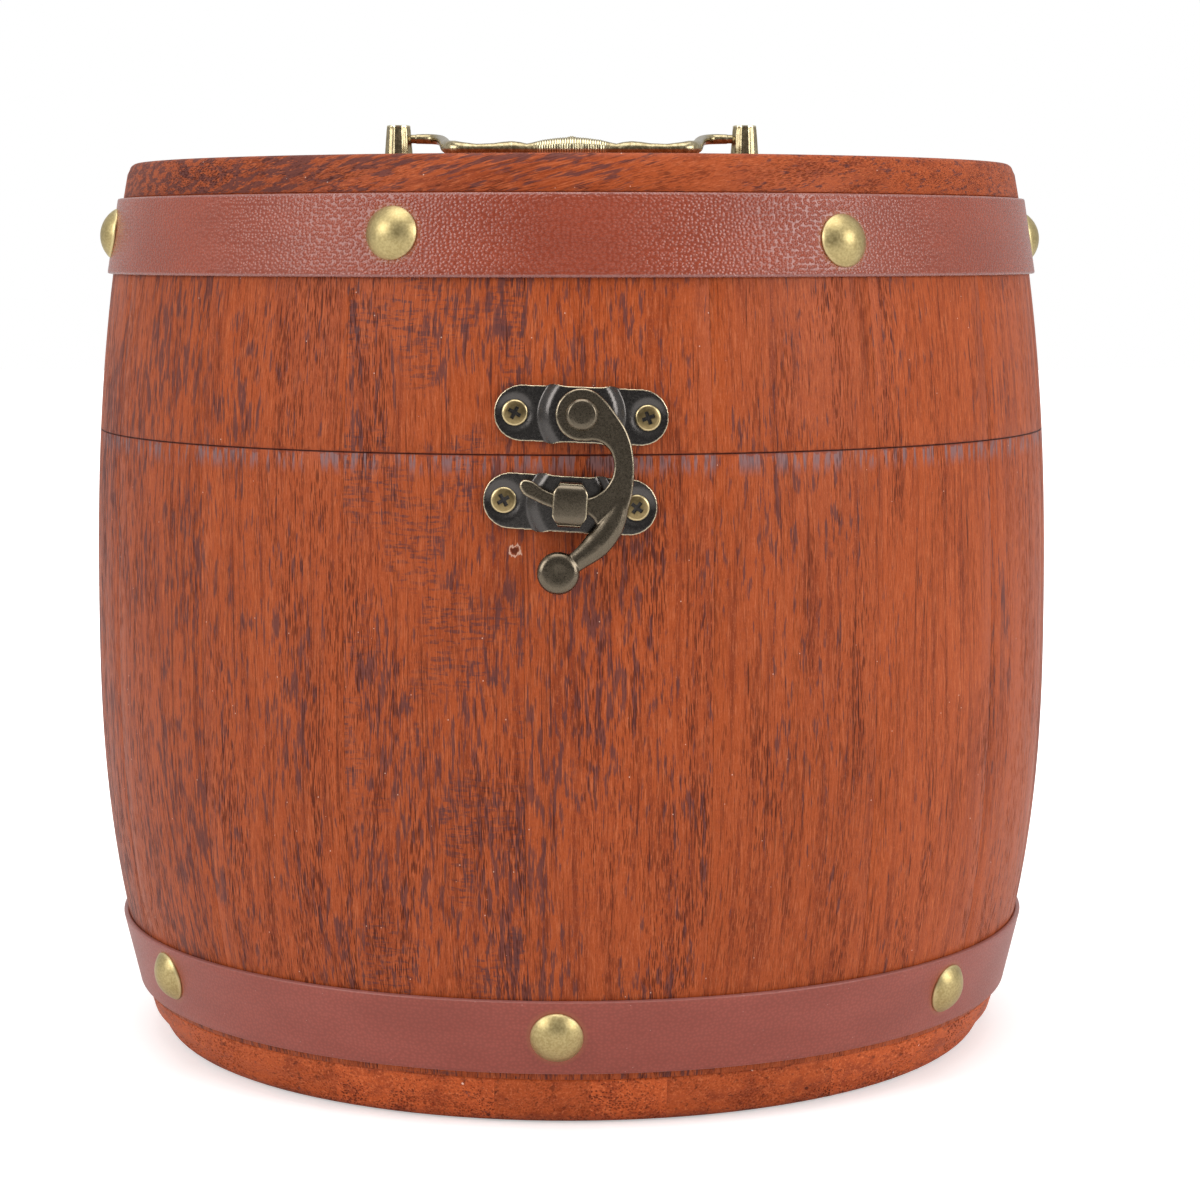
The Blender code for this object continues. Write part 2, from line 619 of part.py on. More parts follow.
tongue_inner = TONGUE_RADIUS - TONGUE_WIDTH / 2
tongue_outer = TONGUE_RADIUS + TONGUE_WIDTH / 2
hook_outline = arc((0, 0), HOOK_EYE_RADIUS, 275, 50, 5)
hook_outline += [(x * MM, y * MM) for x, y in (
    (5.3, -0.1), (7.1, -3.1), (7.95, -6.5), (8.0, -10.1), (7.3, -14.1), (5.6, -17.3),
    (4.2, -18.4), (2.7, -17.7), (1.8, -16.2))]
hook_outline += [tongue_point(tongue_outer, TONGUE_REACH * share) for share in (0, 0.33, 0.66, 0.95)]
hook_outline += [tongue_point(TONGUE_RADIUS, TONGUE_REACH * 1.05)]
hook_outline += [tongue_point(tongue_inner, TONGUE_REACH * share) for share in (0.95, 0.66, 0.33, 0, -0.12)]
hook_outline += [(x * MM, y * MM) for x, y in (
    (2.9, -12.4), (4.4, -10.8), (5.15, -8.8), (5.0, -6.6), (4.0, -4.9), (2.3, -4.0))]

blank = bpy.data.curves.new("hook_blank", "CURVE")
blank.dimensions = "2D"
blank.fill_mode = "BOTH"
blank.extrude = HOOK_THICKNESS / 2
blank.resolution_u = 3
outline = blank.splines.new("BEZIER")
outline.bezier_points.add(len(hook_outline) - 1)
for knot, (x, y) in zip(outline.bezier_points, hook_outline):
    knot.co = (x, y, 0)
    knot.handle_left_type = "AUTO"
    knot.handle_right_type = "AUTO"
outline.use_cyclic_u = True


def tube(name, points, sides):
    """Round bar through points (x, y, z, radius), with closed ends."""
    line = bpy.data.curves.new(name, "CURVE")
    line.dimensions = "3D"
    line.bevel_depth = 1
    line.bevel_resolution = sides // 2 - 2
    line.use_fill_caps = True
    path = line.splines.new("POLY")
    path.points.add(len(points) - 1)
    for knot, (x, y, z, radius) in zip(path.points, points):
        knot.co = (x, y, z, 1)
        knot.radius = radius
    return baked(line, lambda holder: None)


HOOK_MIDDLE = (HOOK_BACK + HOOK_FRONT) / 2
KNOB_LEVEL = HOOK_MIDDLE + KNOB_LIFT
tail_points = []
for x, y, share, radius in ((6.6, -13.6, 0, 0.5), (6.0, -15.6, 0.05, 1.0), (4.6, -18.0, 0.2, 1.5),
                            (2.2, -20.8, 0.5, 1.7), (-0.6, -23.2, 0.8, 1.65)):
    tail_points.append((x * MM, y * MM, HOOK_MIDDLE + KNOB_LIFT * share, radius * MM))
tail_points.append((KNOB_X, -KNOB_DROP, KNOB_LEVEL, KNOB_HALF_THICKNESS * 0.8))

hook_mesh = baked(blank, lambda holder: None)
hook_mesh.transform(Matrix.Translation((0, 0, HOOK_MIDDLE)))
hook = add("latch_hook", hook_mesh, LATCH_BRONZE, LATCH_FRAME, lid_axis)
boolean(hook, add_cutter("hook_tail", tube("hook_tail", tail_points, 10), LATCH_FRAME), "UNION")
knob_bm = bmesh.new()
knob_shape = Matrix.Diagonal((KNOB_RADIUS, KNOB_RADIUS, KNOB_HALF_THICKNESS, 1))
bmesh.ops.create_uvsphere(knob_bm, u_segments=18, v_segments=8, radius=1,
                          matrix=Matrix.Translation((KNOB_X, -KNOB_DROP, KNOB_LEVEL)) @ knob_shape)
boolean(hook, add_cutter("hook_knob", finish_mesh("hook_knob", knob_bm), LATCH_FRAME), "UNION")
boolean(hook, rivet_hole)

# Keeper loop: a strip bent into a square arch, its legs through slots in the keeper plate
loop_in = LOOP_SPAN / 2 - LOOP_THICKNESS
loop_out = LOOP_SPAN / 2
loop_foot = HUMP_BACK - RIVET_TAIL_HEIGHT
loop_under = HOOK_FRONT + LOOP_CLEARANCE
loop_top = loop_under + LOOP_THICKNESS
inner_corner = LOOP_CORNER - LOOP_THICKNESS
loop_outline = [(loop_out, loop_foot)]
loop_outline += arc((loop_out - LOOP_CORNER, loop_top - LOOP_CORNER), LOOP_CORNER, 0, 90, 4)
loop_outline += arc((LOOP_CORNER - loop_out, loop_top - LOOP_CORNER), LOOP_CORNER, 90, 180, 4)
loop_outline += [(-loop_out, loop_foot), (-loop_in, loop_foot)]
loop_outline += arc((inner_corner - loop_in, loop_under - inner_corner), inner_corner, 180, 90, 3)
loop_outline += arc((loop_in - inner_corner, loop_under - inner_corner), inner_corner, 90, 0, 3)
loop_outline += [(loop_in, loop_foot)]
strip = bpy.data.curves.new("keeper_loop", "CURVE")
strip.dimensions = "2D"
strip.fill_mode = "BOTH"
strip.extrude = LOOP_WIDTH / 2
edge = strip.splines.new("POLY")
edge.points.add(len(loop_outline) - 1)
for knot, (x, y) in zip(edge.points, loop_outline):
    knot.co = (x, y, 0, 1)
edge.use_cyclic_u = True

LOOP_TURN = Matrix(((0, 0, 1), (1, 0, 0), (0, 1, 0))).to_4x4()
keeper_turn = Matrix.Rotation(-KEEPER_TILT, 4, "Z")
loop_mesh = baked(strip, lambda holder: None)
loop_mesh.transform(LOOP_TURN)
add("keeper_loop", loop_mesh, LATCH_BRONZE, KEEPER_FRAME @ keeper_turn)
for side, word in ((-1, "low"), (1, "high")):
    near = loop_in - PILOT_CLEARANCE
    far = loop_out + PILOT_CLEARANCE
    slot_low = (-LOOP_WIDTH / 2 - PILOT_CLEARANCE, min(side * near, side * far), 0)
    slot_high = (LOOP_WIDTH / 2 + PILOT_CLEARANCE, max(side * near, side * far), HOOK_FRONT)
    slot = box(f"keeper_slot_{word}", slot_low, slot_high)
    boolean(keeper_plate, add_cutter(f"keeper_slot_{word}", slot, KEEPER_FRAME @ keeper_turn))

# Handle posts on the lid, each with a blind hole for the bail's pin and one for its screw
post_bore = BAIL_PIN_RADIUS + BAIL_PIN_CLEARANCE
screw_bore = SCREW_SHANK_RADIUS + PILOT_CLEARANCE
post_screw_low = -LID_BOARD_THICKNESS - 2 * FIT_GAP
post_screw_profile = [(0, POST_SCREW_BITE), (SCREW_SHANK_RADIUS, POST_SCREW_BITE),
                      (SCREW_SHANK_RADIUS, post_screw_low), (SCREW_HEAD_RADIUS, post_screw_low),
                      (SCREW_HEAD_RADIUS, post_screw_low - POST_SCREW_HEAD_HEIGHT * 0.6),
                      (SCREW_HEAD_RADIUS * 0.7, post_screw_low - POST_SCREW_HEAD_HEIGHT),
                      (0, post_screw_low - POST_SCREW_HEAD_HEIGHT)]
post_screw_mesh = turned("post_screw", post_screw_profile, SCREW_STEPS)
post_screw_hole = cylinder("post_screw_hole", screw_bore, screw_bore, 2 * post_screw_low,
                           POST_SCREW_BITE + FIT_GAP)

post_bm = bmesh.new()
bmesh.ops.create_cone(post_bm, cap_ends=True, segments=2 * POST_FLUTES, radius1=POST_FOOT_RADIUS,
                      radius2=POST_TOP_RADIUS, depth=POST_HEIGHT,
                      matrix=Matrix.Translation((0, 0, POST_HEIGHT / 2)))
for corner in post_bm.verts:
    flute = round(math.atan2(corner.co.y, corner.co.x) / math.pi * POST_FLUTES)
    if flute % 2:
        radius = math.hypot(corner.co.x, corner.co.y)
        corner.co.x *= 1 - POST_FLUTE_DEPTH / radius
        corner.co.y *= 1 - POST_FLUTE_DEPTH / radius
post_mesh = finish_mesh("handle_post", post_bm)

for side, word in ((-1, "left"), (1, "right")):
    place = Matrix.Translation((side * HANDLE_SPAN / 2, 0, HEIGHT + FIT_GAP))
    post = add(f"handle_post_{word}", post_mesh, HANDLE_BRASS, place, lid_axis)
    add(f"handle_screw_{word}", post_screw_mesh, SCREW_BRASS, place, lid_axis)
    screw_tool = add_cutter(f"handle_screw_hole_{word}", post_screw_hole, place)
    boolean(post, screw_tool)
    boolean(lid_board, screw_tool)
    bore_mesh = cylinder(f"bail_bore_{word}", post_bore, post_bore, BAIL_PIN_STOP - FIT_GAP,
                         2 * POST_FOOT_RADIUS)
    aim = Matrix.Translation((side * HANDLE_SPAN / 2, 0, HEIGHT + BAIL_AXIS_HEIGHT))
    aim = aim @ Matrix.Rotation(-side * math.pi / 2, 4, "Y")
    boolean(post, add_cutter(f"bail_bore_{word}", bore_mesh, aim))

# Bail: shares of the shoulder, of the reach and of the grip's radius, from a post to the middle
HALF_SPAN = HANDLE_SPAN / 2
BAIL_DROP = BAIL_AXIS_HEIGHT - BAIL_GRIP_RADIUS - FIT_GAP
shoulder = HALF_SPAN - POST_FOOT_RADIUS - FIT_GAP
bail_half = [(HALF_SPAN - BAIL_PIN_STOP, 0, BAIL_PIN_RADIUS), (shoulder, 0, BAIL_PIN_RADIUS)]
bail_half += [(shoulder * x, BAIL_REACH * y, BAIL_GRIP_RADIUS * r) for x, y, r in (
    (0.989, 0, 0.52), (0.928, 0, 0.58), (0.88, 0.025, 0.57), (0.846, 0.09, 0.55), (0.818, 0.25, 0.52),
    (0.79, 0.6, 0.54), (0.763, 0.86, 0.66), (0.724, 0.96, 0.74), (0.663, 1, 0.62), (0.586, 1, 0.48),
    (0.486, 1, 0.53), (0.426, 1, 0.66), (0.37, 1, 0.75), (0.32, 1, 0.66), (0.276, 1, 0.5),
    (0.238, 1, 0.58), (0.177, 1, 0.8), (0.088, 1, 0.95))]
bail_points = []
for x, y, radius in bail_half:
    bail_points.append((-x, -y, -BAIL_DROP * y / BAIL_REACH, radius))
bail_points.append((0, -BAIL_REACH, -BAIL_DROP, BAIL_GRIP_RADIUS))
for x, y, radius in reversed(bail_half):
    bail_points.append((x, -y, -BAIL_DROP * y / BAIL_REACH, radius))
add("handle_bail", tube("handle_bail", bail_points, 10), HANDLE_BRASS,
    Matrix.Translation((0, 0, HEIGHT + BAIL_AXIS_HEIGHT)), lid_axis)

# Hinge: a leaf with one knuckle on the body, a leaf with two on the lid, and a pin
seat_low = (-SEAT_HALF_LENGTH, -LEAF_WIDTH - FIT_GAP, -SEAT_DEPTH)
seat_high = (SEAT_HALF_LENGTH, LEAF_WIDTH + FIT_GAP, KNUCKLE_RADIUS * 2)
seat = add_cutter("hinge_seat", box("hinge_seat", seat_low, seat_high), HINGE_FRAME)
boolean(lid_ring, seat)
for stave in staves_at(math.pi, SEAT_HALF_LENGTH):
    boolean(stave, seat)

KNUCKLE_LENGTH = HINGE_LENGTH / 3
PIN_BORE = HINGE_PIN_RADIUS + HINGE_PIN_CLEARANCE
PIN_TURN = Matrix.Rotation(math.pi / 2, 4, "Y")
pin_half = HINGE_LENGTH / 2 + FIT_GAP
pin_head_radius = (HINGE_PIN_RADIUS + KNUCKLE_RADIUS) / 2
pin_profile = [(0, pin_half + HINGE_PIN_HEAD), (pin_head_radius, pin_half + HINGE_PIN_HEAD),
               (pin_head_radius, pin_half), (HINGE_PIN_RADIUS, pin_half),
               (HINGE_PIN_RADIUS, -pin_half), (0, -pin_half)]
add("hinge_pin", turned("hinge_pin", pin_profile), LATCH_BRONZE, HINGE_AXIS @ PIN_TURN)
bore_tool = add_cutter("hinge_bore", cylinder("hinge_bore", PIN_BORE, PIN_BORE, -HINGE_LENGTH, HINGE_LENGTH),
                       HINGE_AXIS @ PIN_TURN)


def hinge_leaf(name, side, knuckles, parent):
    """A leaf below (-1) or above (1) the pin with knuckles at the given thirds."""
    leaf_low = (-HINGE_LENGTH / 2, min(side * LEAF_WIDTH, side * FIT_GAP), -KNUCKLE_RADIUS)
    leaf_high = (HINGE_LENGTH / 2, max(side * LEAF_WIDTH, side * FIT_GAP), LEAF_THICKNESS - KNUCKLE_RADIUS)
    leaf = add(name, box(name, leaf_low, leaf_high), LATCH_BRONZE, HINGE_AXIS, parent)
    clear_radius = KNUCKLE_RADIUS + FIT_GAP
    for third in (-1, 0, 1):
        middle = third * KNUCKLE_LENGTH
        if third in knuckles:
            half = KNUCKLE_LENGTH / 2 - FIT_GAP / 2
            shape = cylinder(f"{name}_knuckle", KNUCKLE_RADIUS, KNUCKLE_RADIUS, middle - half, middle + half)
            boolean(leaf, add_cutter(f"{name}_knuckle_{third}", shape, HINGE_AXIS @ PIN_TURN), "UNION")
        else:
            half = KNUCKLE_LENGTH / 2 + FIT_GAP / 2
            shape = cylinder(f"{name}_clear", clear_radius, clear_radius, middle - half, middle + half)
            boolean(leaf, add_cutter(f"{name}_clear_{third}", shape, HINGE_AXIS @ PIN_TURN))
    boolean(leaf, bore_tool)
    return leaf


body_leaf = hinge_leaf("hinge_leaf_body", -1, (0,), None)
lid_leaf = hinge_leaf("hinge_leaf_lid", 1, (-1, 1), lid_axis)
for side, word, angle in ((-1, "right", 30), (1, "left", 65)):
    for row, level, leaf, parent in (("lower", -1, body_leaf, None), ("upper", 1, lid_leaf, lid_axis)):
        spot = (side * HINGE_SCREW_SPACING / 2, level * HINGE_SCREW_OFFSET, LEAF_FRONT)
        place = HINGE_FRAME @ Matrix.Translation(spot)
        azimuth = math.atan2(place.translation.x, -place.translation.y)
        woods = [lid_ring] if parent else staves_at(azimuth, SCREW_SHANK_RADIUS)
        fasten(f"hinge_screw_{row}_{word}", place, angle, leaf, woods, parent)
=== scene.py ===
import random
from math import asin, atan, atan2, cos, degrees, hypot, pi, radians, sin, sqrt

import bmesh
import bpy
from mathutils import Matrix, Vector


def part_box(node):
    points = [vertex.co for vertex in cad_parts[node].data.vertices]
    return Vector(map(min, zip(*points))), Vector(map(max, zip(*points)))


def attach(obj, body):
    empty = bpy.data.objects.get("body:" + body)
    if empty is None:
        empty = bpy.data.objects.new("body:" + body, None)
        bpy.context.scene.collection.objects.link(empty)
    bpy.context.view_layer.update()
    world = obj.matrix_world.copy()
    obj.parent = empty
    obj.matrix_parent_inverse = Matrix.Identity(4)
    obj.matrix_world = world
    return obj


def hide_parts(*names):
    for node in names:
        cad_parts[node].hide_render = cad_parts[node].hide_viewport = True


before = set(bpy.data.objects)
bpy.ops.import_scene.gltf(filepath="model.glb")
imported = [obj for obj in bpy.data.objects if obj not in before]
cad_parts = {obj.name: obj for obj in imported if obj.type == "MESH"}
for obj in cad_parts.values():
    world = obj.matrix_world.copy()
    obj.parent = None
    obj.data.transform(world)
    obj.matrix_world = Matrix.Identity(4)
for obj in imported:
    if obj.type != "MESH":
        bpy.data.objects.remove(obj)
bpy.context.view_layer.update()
MM = 0.001

# Stage: the barrel stands on a plain white floor in a white studio, lit by two soft boxes in front
# and one overhead. The room behind the camera is darker, so metal that faces it is not washed out.
WHITE = (1.0, 1.0, 1.0, 1.0)
FLOOR_GREY = (0.82, 0.82, 0.82, 1.0)
LIFT_NEAR, LIFT_FAR, LIFT_LEAST = 0.1, 0.45, 0.42
bpy.context.scene.view_settings.view_transform = "Standard"


def put(tree, kind, inputs=(), **settings):
    """Add a shader node. The inputs are values, or outputs of other nodes to link."""
    made = tree.nodes.new("ShaderNode" + kind)
    for name, value in settings.items():
        setattr(made, name, value)
    for socket, value in dict(inputs).items():
        if isinstance(value, bpy.types.NodeSocket):
            tree.links.new(value, made.inputs[socket])
        else:
            made.inputs[socket].default_value = value
    return made


def calc(tree, operation, a, b=0.0):
    """Result of one sum."""
    return put(tree, "Math", {0: a, 1: b}, operation=operation).outputs[0]


def times(tree, a, b):
    """Product of two values."""
    return calc(tree, "MULTIPLY", a, b)


def plus(tree, a, b):
    """Total of two values."""
    return calc(tree, "ADD", a, b)


def minus(tree, a, b):
    """Difference of two values."""
    return calc(tree, "SUBTRACT", a, b)


def ramp(tree, value, low, high, to_low=0.0, to_high=1.0):
    """Smooth step of a value between two levels."""
    levels = {0: value, 1: low, 2: high, 3: to_low, 4: to_high}
    return put(tree, "MapRange", levels, interpolation_type="SMOOTHSTEP").outputs[0]


def mix(tree, share, a, b):
    """Colour a with a share of colour b."""
    return put(tree, "Mix", {0: share, 6: a, 7: b}, data_type="RGBA").outputs[2]


def span(tree, a, b=(0, 0, 0)):
    """Distance of a point from another, or from the origin."""
    return put(tree, "VectorMath", {0: a, 1: b}, operation="DISTANCE").outputs["Value"]


world = bpy.data.worlds.new("studio")
world.use_nodes = True
room = world.node_tree
room.nodes.clear()
direction = put(room, "SeparateXYZ", {0: put(room, "TexCoord").outputs["Generated"]})
depth = ramp(room, direction.outputs[1], -0.75, 0.35, 0.16, 0.62)
height = ramp(room, direction.outputs[2], 0.1, 0.9, 0.0, 0.3)
rays = put(room, "LightPath")
seen = calc(room, "MAXIMUM", rays.outputs["Is Camera Ray"], rays.outputs["Is Transmission Ray"])
level = mix(room, seen, plus(room, depth, height), WHITE)
glow = put(room, "Background", {"Color": level, "Strength": 1.0})
room.links.new(glow.outputs[0], put(room, "OutputWorld").inputs[0])
bpy.context.scene.world = world


def start(name, primitive, **settings):
    """New named piece, made by a primitive's operator."""
    bpy.ops.object.select_all(action="DESELECT")
    primitive(**settings)
    bpy.context.object.name = name
    return bpy.context.object


floor = start("floor", bpy.ops.mesh.primitive_plane_add, size=6.0)
paper = bpy.data.materials.new("white_floor")
paper.use_nodes = True
tree = paper.node_tree
tree.nodes.clear()
matt = put(tree, "BsdfDiffuse", {"Color": FLOOR_GREY})
spot = put(tree, "TexCoord").outputs["Object"]
shown = put(tree, "LightPath").outputs["Is Camera Ray"]
strength = times(tree, shown, ramp(tree, span(tree, spot), LIFT_NEAR, LIFT_FAR, LIFT_LEAST, 1.0))
lift = put(tree, "Emission", {"Color": WHITE, "Strength": strength})
both = put(tree, "AddShader", {0: matt.outputs[0], 1: lift.outputs[0]})
tree.links.new(both.outputs[0], put(tree, "OutputMaterial").inputs[0])
floor.data.materials.append(paper)

for name, place, aim, size, power in (
        ("left_box", (-0.95, -0.68, 0.62), (0, 0, 0.09), 0.7, 7.4),
        ("right_box", (0.97, -0.62, 0.50), (0, 0, 0.09), 0.6, 6.5),
        ("top_box", (0.0, -0.22, 1.15), (0, 0, 0.1), 0.9, 6.6)):
    lamp = bpy.data.lights.new(name, "AREA")
    lamp.size = size
    lamp.energy = power
    light = bpy.data.objects.new(name, lamp)
    light.matrix_world = Matrix.Translation(place) @ (
        (Vector(aim) - Vector(place)).to_track_quat("-Z", "Y").to_matrix().to_4x4())
    bpy.context.scene.collection.objects.link(light)

# Camera: a long lens a little above the seam, looking down by less than seven degrees,
# turned slightly so that the barrel stands left of the middle of the picture.
LOOK_DOWN = 0.11673
LOOK_RIGHT = atan(28 / 3016)
eye = bpy.data.cameras.new("camera")
eye.lens = 90.5
eye.sensor_width = 36.0
eye.clip_start = 0.01
camera = bpy.data.objects.new("camera", eye)
camera.location = (0.0, -0.5647, 0.1452)
camera.rotation_euler = (pi / 2 - LOOK_DOWN, 0.0, -LOOK_RIGHT)
bpy.context.scene.collection.objects.link(camera)
bpy.context.scene.camera = camera

# Barrel wood: an open-pored tropical hardwood under a red-brown stain that also sank into the pores.
# One node group paints all of it from grain coordinates in millimetres: across, depth and along.
BASE = (0.362, 0.069, 0.0165, 1.0)
PALE = (0.500, 0.135, 0.050, 1.0)
DEEP = (0.225, 0.038, 0.010, 1.0)
PORE = (0.055, 0.008, 0.004, 1.0)
SMEAR = (0.080, 0.032, 0.034, 1.0)
LIP = (0.180, 0.120, 0.130, 1.0)
SPECK = (0.75, 0.55, 0.45, 1.0)
FINISH = dict(Colour="Color", Roughness="Float", Height="Float")


def stretch(tree, vector, scale):
    """A vector with each axis multiplied."""
    return put(tree, "VectorMath", {0: vector, 1: scale}, operation="MULTIPLY").outputs[0]


def noise(tree, vector, scale, detail=2.0):
    """Smooth noise with that many lumps to a unit on each axis."""
    return put(tree, "TexNoise", {"Vector": stretch(tree, vector, scale), "Scale": 1.0,
                                  "Detail": detail}).outputs[0]


def cells(tree, vector, scale):
    """Distance from the middles of scattered cells."""
    return put(tree, "TexVoronoi", {"Vector": stretch(tree, vector, scale),
                                    "Scale": 1.0}).outputs["Distance"]


def layers(tree, colour, *coats):
    """A colour with others laid over it one by one, each by its share."""
    for share, over in coats:
        colour = mix(tree, share, colour, over)
    return colour


def group(name, inputs, outputs):
    """New shader group with named inputs and outputs, and the sockets of its entry node."""
    tree = bpy.data.node_groups.new(name, "ShaderNodeTree")
    for way, sockets in (("INPUT", inputs), ("OUTPUT", outputs)):
        for socket, kind in sockets.items():
            tree.interface.new_socket(socket, in_out=way, socket_type="NodeSocket" + kind)
    return tree, tree.nodes.new("NodeGroupInput").outputs


def give(tree, **values):
    """End a group with its exit node and what it gives."""
    result = tree.nodes.new("NodeGroupOutput").inputs
    for name, value in values.items():
        tree.links.new(value, result[name])


wood, given = group("barrel_wood", dict(Grain="Vector", Look="Vector", Lip="Float"), FINISH)
look = put(wood, "SeparateXYZ", {0: given["Look"]}).outputs
wander = times(wood, noise(wood, given["Grain"], (0.035, 0.035, 0.010)), 6.0)
flutter = times(wood, noise(wood, given["Grain"], (0.22, 0.22, 0.03), 1.0), 0.9)
sway = put(wood, "CombineXYZ", {0: plus(wood, wander, flutter)}).outputs[0]
lay = put(wood, "VectorMath", {0: given["Grain"], 1: sway}, operation="ADD").outputs[0]
fibre = noise(wood, lay, (5.0, 5.0, 0.30), 3.0)
fleck = noise(wood, lay, (8.0, 8.0, 2.2), 2.0)
streak = noise(wood, lay, (0.75, 0.75, 0.03), 4.0)
crowd = ramp(wood, noise(wood, lay, (0.30, 0.30, 0.04), 2.0), 0.32, 0.68, 0.18, 0.48)
calm = ramp(wood, noise(wood, given["Grain"], (0.075, 0.075, 0.014), 2.0), 0.42, 0.60, 0.45, 1.0)
pore = ramp(wood, minus(wood, crowd, cells(wood, lay, (5.2, 5.2, 0.34))), -0.04, 0.10)
stain = noise(wood, lay, (1.2, 1.2, 0.20), 4.0)
area = noise(wood, given["Grain"], (0.06, 0.06, 0.03), 1.0)
stain = plus(wood, stain, times(wood, minus(wood, area, 0.5), 0.5))
stain = minus(wood, stain, times(wood, minus(wood, fibre, 0.5), 0.45))
stain = ramp(wood, plus(wood, stain, look[2]), 0.585, 0.70)
rows = ramp(wood, noise(wood, given["Grain"], (0.40, 0.40, 2.0), 3.0), 0.48, 0.60)
patch = ramp(wood, noise(wood, given["Grain"], (0.12, 0.12, 0.07), 2.0), 0.44, 0.60)
sawn = times(wood, times(wood, rows, patch), ramp(wood, fibre, 0.62, 0.42, 0.25, 1.0))
sawn = times(wood, sawn, look[1])
worn = noise(wood, given["Grain"], (1.1, 1.1, 0.12), 4.0)
worn = times(wood, given["Lip"], ramp(wood, worn, 0.48, 0.58))
lines = noise(wood, lay, (2.6, 2.6, 0.020), 3.0)
crack = ramp(wood, cells(wood, lay, (0.42, 0.42, 0.022)), 0.085, 0.045)
speck = ramp(wood, cells(wood, given["Grain"], (0.34, 0.34, 0.30)), 0.04, 0.025)
colour = layers(
    wood, DEEP,
    (ramp(wood, streak, 0.28, 0.56), BASE),
    (ramp(wood, fibre, 0.50, 0.74, 0.0, 0.7), PALE),
    (times(wood, ramp(wood, fibre, 0.50, 0.28, 0.0, 0.75), calm), DEEP),
    (ramp(wood, fleck, 0.54, 0.76, 0.0, 0.5), PALE),
    (ramp(wood, fleck, 0.46, 0.26, 0.0, 0.5), DEEP),
    (times(wood, stain, 0.72), SMEAR),
    (times(wood, sawn, 0.75), SMEAR),
    (times(wood, worn, 0.75), LIP),
    (times(wood, times(wood, pore, calm), 0.76), PORE),
    (ramp(wood, lines, 0.58, 0.70, 0.0, 0.55), PORE),
    (times(wood, crack, 0.8), PORE),
    (times(wood, speck, 0.7), SPECK))
shade = put(wood, "HueSaturation", {"Value": look[0], "Color": colour}).outputs[0]
dry = plus(wood, ramp(wood, fibre, 0.3, 0.7, 0.36, 0.50), times(wood, pore, 0.25))
relief = minus(wood, times(wood, fibre, 0.5), calc(wood, "MAXIMUM", pore, crack))
give(wood, Colour=shade, Roughness=plus(wood, dry, times(wood, stain, 0.1)),
     Height=minus(wood, relief, times(wood, sawn, 0.3)))


def paint(name):
    """New material, its node tree and its Principled shader."""
    made = bpy.data.materials.new(name)
    made.use_nodes = True
    return made, made.node_tree, made.node_tree.nodes["Principled BSDF"]


def coat(tree, shader, finish, strength, distance):
    """Link the colour, roughness and height of a finish to a shader, the height as a bump."""
    bump = put(tree, "Bump", {"Strength": strength, "Distance": distance, "Height": finish["Height"]})
    tree.links.new(finish["Colour"], shader.inputs["Base Color"])
    tree.links.new(finish["Roughness"], shader.inputs["Roughness"])
    tree.links.new(bump.outputs[0], shader.inputs["Normal"])


# Staves: eighteen glued staves, turned together to a bulging outside, flat inside where they were planed.
# The barrel is sawn through above its middle, so each stave goes on across the seam into the lid.
HEIGHT = 160 * MM
SEAM = 112.3 * MM
SEAM_GAP = 0.08 * MM
BULGE_RADIUS = 87.95 * MM
BULGE_HEIGHT = 76 * MM
LID_EDGE_RADIUS = 81 * MM
FOOT_EDGE_RADIUS = 77.4 * MM
BULGE_POWER = 2.4
STAVES = 18
FIRST_JOINT = radians(-25)
GLUE_LINE = 0.03 * MM
BODY_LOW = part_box("bottom_board")[1][2] + GLUE_LINE
LID_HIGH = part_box("lid_board")[0][2] - GLUE_LINE
WALL = 6.5 * MM
JOINT = 0.02 * MM
ARRIS = 0.06 * MM
WELD = 0.002 * MM
LIP_HIGH, LIP_LOW = 1.2 * MM, 4.2 * MM
NO_LIP = (HEIGHT + 20 * MM, HEIGHT + 30 * MM)
SEAT_HEIGHT, SEAT_TOOL, SEAT_CLEAR = 20.6 * MM, 20 * MM, 0.3 * MM
SEAT_SPREAD = radians(30)


def barrel_radius(z):
    """Outer radius of the turned barrel at a height."""
    if z > BULGE_HEIGHT:
        share = (z - BULGE_HEIGHT) / (HEIGHT - BULGE_HEIGHT)
        return BULGE_RADIUS - (BULGE_RADIUS - LID_EDGE_RADIUS) * share ** BULGE_POWER
    share = (BULGE_HEIGHT - z) / BULGE_HEIGHT
    return BULGE_RADIUS - (BULGE_RADIUS - FOOT_EDGE_RADIUS) * share ** BULGE_POWER


def wall_slope(z):
    """Change of the outer radius with height."""
    return (barrel_radius(z + 0.5 * MM) - barrel_radius(z - 0.5 * MM)) / MM


APOTHEM = barrel_radius(BODY_LOW) - WALL


def draw(name, points):
    """Line in the XZ plane, drawn by extruding one vertex from point to point."""
    piece = start(name, bpy.ops.mesh.primitive_plane_add, size=MM)
    bpy.ops.object.mode_set(mode="EDIT")
    bpy.ops.mesh.merge(type="CENTER")
    bpy.ops.transform.translate(value=(points[0][0], 0, points[0][1]))
    for (r, z), (next_r, next_z) in zip(points, points[1:]):
        bpy.ops.mesh.extrude_vertices_move(TRANSFORM_OT_translate={"value": (next_r - r, 0, next_z - z)})
    bpy.ops.mesh.select_all(action="SELECT")
    return piece


def weld():
    """Weld the active piece's mesh, turn its faces outward and leave edit mode."""
    bpy.ops.object.mode_set(mode="EDIT")
    bpy.ops.mesh.select_all(action="SELECT")
    bpy.ops.mesh.remove_doubles(threshold=WELD)
    bpy.ops.mesh.normals_make_consistent(inside=False)
    bpy.ops.mesh.select_all(action="DESELECT")
    bpy.ops.object.mode_set(mode="OBJECT")


